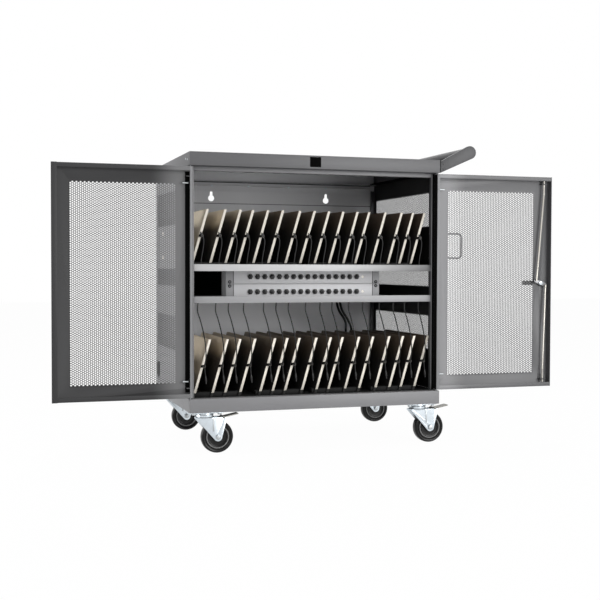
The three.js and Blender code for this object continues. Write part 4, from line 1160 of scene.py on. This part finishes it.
def add_walls():
    """The side walls, with real holes in their three fields."""
    for side, node in ((-1, "left_wall"), (1, "right_wall")):
        outer = side * HALF_WIDTH
        near, far = sorted((side * (WALL_INNER - 3), side * (HALF_WIDTH + 3)))
        y0, y1 = WALL_FIELD_FRONT, WALL_FIELD_REAR
        windows = [((near, y0, z0), (far, y1, z1)) for z0, z1 in WALL_FIELD_LEVELS]
        # The left wall's lighter coat is painted light
        web = "left_wall" if side < 0 else "body"
        sheet_copy(node, web, windows=windows)
        for i, (z0, z1) in enumerate(WALL_FIELD_LEVELS):
            matrix = facing((0, side, 0), (0, 0, 1), (outer, (y0 + y1) / 2, (z0 + z1) / 2))
            field = perforated_field(f"{node}_field_{i + 1}", y1 - y0, z1 - z0, WALL_FIELD_SHEET, matrix, web)
            dress(field, web, CABINET, (node,))


def add_wall_shade_lining():
    """A black sheet on the right wall's inner side, round its three fields: painted shade."""
    near, far = WALL_INNER - 0.5, WALL_INNER - LINING_GAP
    front, rear = JAMB_FRONT + 2, BACK_INNER - 1
    edges = [BASE_TOP + 1, *sorted(z for level in WALL_FIELD_LEVELS for z in level), LID_BOTTOM - 0.15]
    bm = bmesh.new()
    for z0, z1 in zip(edges[::2], edges[1::2]):
        add_box(bm, (near, front, z0), (far, rear, z1))
    for z0, z1 in WALL_FIELD_LEVELS:
        add_box(bm, (near, front, z0), (far, WALL_FIELD_FRONT, z1))
        add_box(bm, (near, WALL_FIELD_REAR, z0), (far, rear, z1))
    piece("right_wall_lining", bm, "lining")


def add_outer_screws():
    """Screws on the back wall, the side walls and the lid's left end."""
    rear = [(x, BACK - SUNK_HEAD, z) for x in BACK_SIDE_SCREWS for z in BACK_SIDE_LEVELS]
    rear += [(x, BACK - SUNK_HEAD, z) for x in BACK_ROW_SCREWS for z in BACK_ROW_LEVELS]
    spread_on("back_wall_screws", screw_head(8.0, SUNK_HEAD), "pin", rear, TO_REAR)
    for side, name, turn in ((-1, "left", TO_LEFT), (1, "right", TO_RIGHT)):
        spots = [(side * HALF_WIDTH, y, z) for y in WALL_SCREWS for z in WALL_SCREW_LEVELS]
        if side > 0:
            spots = [spot for spot in spots if spot[2] < ARMS_ABOVE or abs(spot[1]) < ARMS_BEYOND]
        spread_on(f"{name}_wall_screws", screw_head(8.0, SUNK_HEAD), "body", spots, turn)
    spread_on("lid_left_screws", screw_head(6.0, SUNK_HEAD), "zinc", LID_SCREWS, TO_LEFT)
    # Two screws in the glowing lens finish: painted glints
    racks = [(-HALF_WIDTH, RACK_SCREW_Y, z) for z in RACK_SCREW_LEVELS]
    spread_on("left_wall_rack_screws", screw_head(13.0, SUNK_HEAD), "lens", racks, TO_LEFT)


def add_jamb_strips():
    """A grey trim and a black strip on the front of each jamb: painted light on the trim, in the base tray's
    lighter paint, and painted shade in the strip, which is wider on the right, where the trim is narrower.
    """
    # painted light on the trim and painted shade on the black strip
    for side, name, trim in ((-1, "left", 12.0), (1, "right", 3.5)):
        strips = (("trim", "base", 0.3, trim), ("seal", "seal", trim, HALF_WIDTH - JAMB_INNER - 0.5))
        for kind, finish, a, b in strips:
            low, high = sorted((side * (JAMB_INNER + a), side * (JAMB_INNER + b)))
            bm = bmesh.new()
            near = (low, JAMB_FRONT - 0.8, BASE_TOP + 2)
            add_box(bm, near, (high, JAMB_FRONT - LINING_GAP, LID_BOTTOM - 2))
            piece(f"{name}_jamb_{kind}", bm, finish, edge=0.2)


def add_badge():
    x0, x1, z0, z1 = BADGE
    piece("blank_badge_plate", block((x0, FRONT - 0.9, z0), (x1, FRONT + 0.2, z1)), "badge", edge=0.5)


def add_cabinet():
    # The rear rail takes the pale liner as painted light
    sheets = (
        ("top_lid", "body", 0.8), ("header_rail", "header", 0.5), ("back_wall", "body", 0.4),
        ("base_tray", "base", 0.8), ("rear_rail", "liner", 0.5), ("upper_shelf", "upper_shelf", 0.6),
        ("lower_shelf", "lower_shelf", 0.6), ("left_rack_bracket", "lower_shelf", 0.6),
        ("right_rack_bracket", "lower_shelf", 0.6),
    )
    for node, finish, edge in sheets:
        sheet_copy(node, finish, edge=edge)
    add_walls()
    add_wall_shade_lining()
    add_back_liner()
    add_lid_linings()
    add_posts()
    add_handle()
    add_outer_screws()
    add_jamb_strips()
    add_badge()


# Doors

def add_door_seals(side, node):
    """The hinge flange's grey lip, in the base tray's lighter paint as painted light, and black strips as
    painted shade beside the flange and on its outer face.
    """
    span, tall = (DOOR_BOTTOM + 16, DOOR_TOP - 16), (DOOR_BOTTOM + 2, DOOR_TOP - 2)
    y = DOOR_SKIN_Y
    # painted light on the lip, painted shade on the black strips
    strips = (
        ("hinge_lip", "base", HINGE_FLANGE + 0.2, HINGE_FLANGE + 9.0, FRONT + 0.3, FRONT + 1.3, tall),
        ("hinge_seal", "seal", HINGE_FLANGE + 1.8, HINGE_FLANGE + 19.5, y - 0.9, y - 0.05, span),
        ("flange_seal", "seal", HINGE_FLANGE - 0.7, HINGE_FLANGE - 0.05, FRONT + 1, y, tall),
    )
    for name, finish, a, b, y0, y1, (z0, z1) in strips:
        low, high = sorted((side * a, side * b))
        piece(f"{node}_{name}", block((low, y0, z0), (high, y1, z1)), finish, node, edge=0.2)


def add_doors():
    x0, x1, z0, z1 = DOOR_FIELD
    y = DOOR_SKIN_Y
    for side, node in ((-1, "left_door"), (1, "right_door")):
        low, high = sorted((side * x0, side * x1))
        window = ((low, y - 4, z0), (high, y + DOOR_SHEET + 4, z1))
        sheet_copy(node, node, node, edge=0.45, windows=[window])
        matrix = facing((1, 0, 0), (0, 0, 1), (side * (x0 + x1) / 2, y, (z0 + z1) / 2))
        field = perforated_field(f"{node}_field", x1 - x0, z1 - z0, DOOR_FIELD_SHEET, matrix, node)
        dress(field, node, node, (node,))
        add_door_seals(side, node)


# Dividers

# Depth of the cream edge, the clips, and how far a foot rail reaches past its dividers, its depth and height
EDGE_DEPTH = 1.5
CLIP_OUTER, CLIP_INNER, NOTCH_HALF = 8.6, 5.0, 4.0
RAIL_PAST, RAIL_DEEP, RAIL_HIGH = 6.0, 28.0, 14.0
RAIL_FRONTS = (DIVIDER_FRONT + 7, DIVIDER_BACK - 35)


def leaning(left, right, low, high):
    """The outline of a leaning sheet between two heights."""
    return [(x + DIVIDER_LEAN * z, z) for x, z in ((left, low), (right, low), (right, high), (left, high))]


def add_divider_row(row, feet, deck):
    """A row of panels with their cream front edges, cable clips and foot rails."""
    thick = DIVIDER_THICK
    nodes = [f"{row}_dividers_{i}" for i in (1, 2, 3, 4)]
    points = [(foot, 0.0, deck + FIT) for foot in feet]
    bm = bmesh.new()
    outline = leaning(0.0, thick, 0.0, DIVIDER_HEIGHT)
    add_prism(bm, outline, along_y, DIVIDER_FRONT + EDGE_DEPTH, DIVIDER_BACK)
    spread_on(f"{row}_divider_panels", bm, f"{row}_face", points, replaced=nodes, edge=0.8)
    bm = bmesh.new()
    outline = leaning(0.0, thick, DIVIDER_FOOT, DIVIDER_HEIGHT)
    add_prism(bm, outline, along_y, DIVIDER_FRONT, DIVIDER_FRONT + EDGE_DEPTH)
    spread_on(f"{row}_divider_edges", bm, f"{row}_edge", points, edge=0.5)
    clips = [(clip_x(foot), 0.0, deck + CLIP_RISE) for foot in feet]
    ring = circle(CLIP_OUTER, sides=14, start=-200, sweep=290)
    ring += circle(CLIP_INNER, sides=14, start=90, sweep=-290)
    bm = prism(ring, along_y, CABLE_Y - 3.0, DIVIDER_FRONT + 0.4)
    spread_on(f"{row}_cable_clips", bm, "clip", clips, edge=0.4)
    # A black mark on each edge at its clip: painted shade of a notch
    bm = bmesh.new()
    notch = leaning(-thick - 0.3, 0.3, -NOTCH_HALF, NOTCH_HALF)
    add_prism(bm, notch, along_y, DIVIDER_FRONT - 0.5, DIVIDER_FRONT + 0.4)
    spread_on(f"{row}_clip_notches", bm, "seal", clips)
    for k, y in enumerate(RAIL_FRONTS):
        bm = bmesh.new()
        for start in range(0, 16, 4):
            left, right = feet[start] - RAIL_PAST, feet[start + 3] + thick + RAIL_PAST
            add_box(bm, (left, y, deck + FIT), (right, y + RAIL_DEEP, deck + FIT + RAIL_HIGH))
        piece(f"{row}_foot_rails_{k + 1}", bm, "rubber", edge=1.0)


def add_dividers():
    add_divider_row("upper", UPPER_FEET, UPPER_DECK)
    add_divider_row("lower", LOWER_FEET, BASE_TOP)


# Charging strips

# Turned sections of the strips' fittings: radius, and depth from the strip's face
WASHER = ((2.9, -0.3), (5.4, -0.3), (5.4, 0.7), (4.8, 1.1), (2.9, 1.1))
OUTLET_RIM = ((8.0, 1.0), (8.0, -2.2), (8.8, -2.8), (9.6, -1.6), (9.8, 1.0))
OUTLET_PLUG = (
    (0.0, 1.0), (9.2, 1.0), (9.2, -4.0), (7.6, -6.0), (4.8, -6.4), (4.4, -12.0), (2.6, -14.0), (0.0, -14.0),
)
PILOT_LAMP = ((0.0, 0.5), (3.4, 0.5), (3.4, -1.4), (1.8, -2.6), (0.0, -2.9))
EAR_SCREW_INSET = 6.0


def add_ear_screws(row, node):
    """A screw on a dark washer at each ear, beside the seam between the two strips."""
    low, high = (corner.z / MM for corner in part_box(node))
    z = low + EAR_SCREW_INSET if row == "upper" else high - EAR_SCREW_INSET
    spots = [(side * (STRIP_HALF + STRIP_EAR / 2), STRIP_FRONT, z) for side in (-1, 1)]
    spread_on(f"{row}_ear_washers", turned(WASHER, along_z, 24), "seal", spots, TO_FRONT)
    spread_on(f"{row}_ear_screws", screw_head(5.6, 1.9), "wire", spots, TO_FRONT)
    bm = bmesh.new()
    for x in (-STRIP_HALF, STRIP_HALF):
        add_box(bm, (x - 0.9, STRIP_FRONT - 0.25, low + 0.5), (x + 0.9, STRIP_FRONT + 0.4, high - 0.5))
    piece(f"{row}_ear_seams", bm, "seal")


def add_strips():
    """The two charging strips, each with a row of outlets and a pilot lamp."""
    for row, z in OUTLET_ROWS.items():
        node = f"{row}_charging_strip"
        made = solid_object(f"{node}_case", cad_copy(node))
        soften(made, 0.5)
        dress(made, "strip", CABINET, (node,))
        add_ear_screws(row, node)
        first, step = (OUTLET_FIRST, STRIP_FRONT, z), (OUTLET_PITCH, 0.0, 0.0)
        row_of(f"{row}_outlet_rims", turned(OUTLET_RIM, along_y, 20), "rim", OUTLET_COUNT, first, step)
        row_of(f"{row}_outlet_plugs", turned(OUTLET_PLUG, along_y, 6), "black", OUTLET_COUNT, first, step)
        bm = turned(PILOT_LAMP, lambda u, v, h: (LAMP_X + u, STRIP_FRONT + h, z + v), 20)
        piece(f"{row}_pilot_lamp", bm, "lens")


# Casters

# Half of the wheel's section and of its ring's: radius, and distance from the wheel's middle
WHEEL_HALF = (
    (5.3, 15.0), (12.0, 15.0), (13.0, 14.2), (13.0, 11.6), (24.0, 11.0), (27.0, 11.4), (28.0, 13.6),
    (31.0, 14.2), (32.5, 13.4), (33.5, 11.4), (38.0, 11.4), (40.0, 13.4), (44.0, 14.2), (47.5, 12.6),
    (49.4, 9.6), (50.0, 5.0),
)
WHEEL_RING = ((32.0, 11.0), (32.4, 14.2), (34.0, 15.0), (35.6, 14.2), (36.0, 11.0))

# Fork's ridges, from the axle, the gaps of its ball race and the bolts of its plate
FORK_FACE, RIDGE_SPAN, RIDGE_LEVELS = 20.0, (-17.0, -12.0), (68.0, 109.0)
RACE_RADIUS, RACE_GAP_LEVELS, RACE_GAP = 27.0, (111.0, 119.5), 1.6
BOLT_WIDTH, BOLT_LEVELS, BOLT_X, BOLT_Y = 13.0, (121.5, 127.0), 40.0, 30.0


def add_wheel(corner, x, y):
    """A moulded wheel with a ring on each side, pale as a painted highlight."""
    def place(u, v, h):
        return (x + TRAIL + u, y + h, AXLE_Z + v)

    section = [(r, -w) for r, w in WHEEL_HALF] + list(reversed(WHEEL_HALF))
    bm = turned(section, place, 72)
    piece(f"{corner}_tyre", bm, "tyre", f"{corner}_wheel", (f"{corner}_caster_wheel",))
    bm = bmesh.new()
    for face in (-1, 1):
        add_lathe(bm, [(r, face * w) for r, w in WHEEL_RING], place, 72)
    piece(f"{corner}_wheel_rings", bm, "ring", f"{corner}_wheel")


def add_fork_details(corner, x, y):
    """The pressed ridge on each leg of a fork, in darker zinc as a painted reflection, and the dark gaps of
    its ball race.
    """
    # darker zinc on the ridges: painted reflection
    left, right = (x + TRAIL + reach for reach in RIDGE_SPAN)
    low, high = RIDGE_LEVELS
    bm = bmesh.new()
    for face in (-1, 1):
        near, far = sorted((y + face * (FORK_FACE - 0.5), y + face * (FORK_FACE + 0.9)))
        add_box(bm, (left, near, low), (right, far, high))
    piece(f"{corner}_fork_ridges", bm, "pin", f"{corner}_swivel", edge=0.6)
    inner, outer = RACE_RADIUS - 0.6, RACE_RADIUS + 0.5
    bm = bmesh.new()
    for z in RACE_GAP_LEVELS:
        ring = ((inner, z), (outer, z), (outer, z + RACE_GAP), (inner, z + RACE_GAP))
        add_lathe(bm, ring, lambda u, v, h: (x + u, y + v, h), 48)
    piece(f"{corner}_race_gaps", bm, "seal", f"{corner}_swivel")


def add_plate_bolts(corner, x, y):
    bm = prism(circle(BOLT_WIDTH, sides=6), along_z, *BOLT_LEVELS)
    bolts = [(x + dx, y + dy, 0.0) for dx in (-BOLT_X, BOLT_X) for dy in (-BOLT_Y, BOLT_Y)]
    spread_on(f"{corner}_plate_bolts", bm, "pin", bolts, edge=0.5)


def add_casters():
    for corner in CORNERS:
        x = SWIVEL_X * (1 if "right" in corner else -1)
        y = SWIVEL_Y * (-1 if "front" in corner else 1)
        add_wheel(corner, x, y)
        sheet_copy(f"{corner}_caster_plate", "zinc", edge=0.8)
        sheet_copy(f"{corner}_caster_fork", "zinc", f"{corner}_swivel", edge=0.7)
        sheet_copy(f"{corner}_caster_axle", "pin", f"{corner}_swivel", edge=0.6)
        add_fork_details(corner, x, y)
        add_plate_bolts(corner, x, y)
    for corner in CORNERS[:2]:
        sheet_copy(f"{corner}_brake_pedal", "pedal", f"{corner}_brake", edge=0.6)


# Hinge pins, lock, hook and inlet

# Hinge pins' black sleeves, painted shade: elbow and top, from the door's edge, and the length past the elbow
SLEEVE_ELBOW, SLEEVE_TOP, SLEEVE_SIDE = 50.0, 3.0, 7.0

# Power inlet: rim round its recess, the recess's depth, and the blades' half sizes and depths
INLET_RIM, INLET_DEPTH = 7.0, 9.0
BLADE_HALF_Y, BLADE_HALF_Z, BLADE_DEPTHS = 0.9, 2.0, (2.5, 9.5)


def add_pin_shade_sleeve(side, name, end):
    """A black sleeve on a pin's upright leg and round its elbow: painted shade on the pin."""
    x, up = side * HINGE_X, 1 if end == "upper" else -1
    edge = DOOR_TOP if end == "upper" else DOOR_BOTTOM
    elbow, top = edge - up * SLEEVE_ELBOW, edge - up * SLEEVE_TOP
    r, reach = PIN_DIAMETER / 2 + FIT, side * SLEEVE_SIDE
    foot = elbow - up * r
    upright = ((0.0, foot), (r * 0.7, foot), (r, elbow - up * r * 0.6), (r, top), (0.0, top))
    level = ((0.0, 0.0), (r, 0.0), (r, reach), (0.0, reach))
    bm = bmesh.new()
    add_lathe(bm, upright, lambda u, v, h: (x + u, HINGE_Y + v, h), 20)
    add_lathe(bm, level, lambda u, v, h: (x + h, HINGE_Y + u, elbow + v), 20)
    close_poles(bm)
    piece(f"{name}_{end}_pin_sleeve", bm, "seal", f"{name}_{end}_pin")


def add_lock_fittings():
    """The nut on the lock's spindle, inside, and its key cylinder, outside."""
    low, high = (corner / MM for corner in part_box("lock_cam"))
    x, z, inside = (low.x + high.x) / 2, (low.z + high.z) / 2, low.y
    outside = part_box("lock_handle")[1].y / MM
    fittings = (
        ("lock_nut", "zinc", 14.0, 6, inside - 4.0, inside + 0.3, 0.6),
        ("lock_spindle_end", "pin", 6.0, 20, inside - 5.3, inside - 3.5, 0.5),
        ("lock_cylinder", "zinc", 13.0, 32, outside - 0.3, outside + 0.9, 0.3),
    )
    for name, finish, diameter, sides, y0, y1, edge in fittings:
        piece(name, prism(circle(diameter, (x, z), sides), along_y, y0, y1), finish, "lock", edge=edge)
    bm = block((x - 0.8, outside + 0.5, z - 4), (x + 0.8, outside + 1.0, z + 4))
    piece("lock_key_slot", bm, "seal", "lock")


def add_inlet():
    """The power inlet with its socket recess and three blades."""
    low, high = (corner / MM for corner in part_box("power_inlet"))
    y, z = (low.y + high.y) / 2, (low.z + high.z) / 2
    half_y, half_z = (high.y - low.y) / 2 - INLET_RIM, (high.z - low.z) / 2 - INLET_RIM
    made = solid_object("power_inlet_case", cad_copy("power_inlet"))
    bm = block((low.x - 1, y - half_y, z - half_z), (low.x + INLET_DEPTH, y + half_y, z + half_z))
    cut_away(made, [bm])
    soften(made, 0.8)
    dress(made, "black", CABINET, ("power_inlet",))
    x0, x1 = (low.x + depth for depth in BLADE_DEPTHS)
    bm = bmesh.new()
    for dy, dz in ((-half_y * 0.45, -half_z * 0.3), (half_y * 0.45, -half_z * 0.3), (0.0, half_z * 0.4)):
        near = (x0, y + dy - BLADE_HALF_Y, z + dz - BLADE_HALF_Z)
        far = (x1, y + dy + BLADE_HALF_Y, z + dz + BLADE_HALF_Z)
        add_box(bm, near, far)
    piece("power_inlet_blades", bm, "zinc", edge=0.3)


def add_hardware():
    for side, name in SIDES:
        for end in ("upper", "lower"):
            sheet_copy(f"{name}_{end}_hinge_pin", "pin", f"{name}_{end}_pin", edge=0)
            add_pin_shade_sleeve(side, name, end)
    sheet_copy("lock_handle", "black", "lock", edge=1.5)
    sheet_copy("lock_cam", "wire", "lock", edge=0.5)
    add_lock_fittings()
    for end in ("upper", "lower"):
        sheet_copy(f"{end}_lock_rod", "rod", f"{end}_rod", edge=0)
    for end in ("upper", "lower"):
        sheet_copy(f"{end}_rod_guide", "handle", "right_door", edge=0.4)
    sheet_copy("cord_hook", "wire", edge=0)
    add_inlet()


set_studio()
add_cables()
add_supply_cords()
add_cabinet()
add_doors()
add_dividers()
add_strips()
add_casters()
add_hardware()
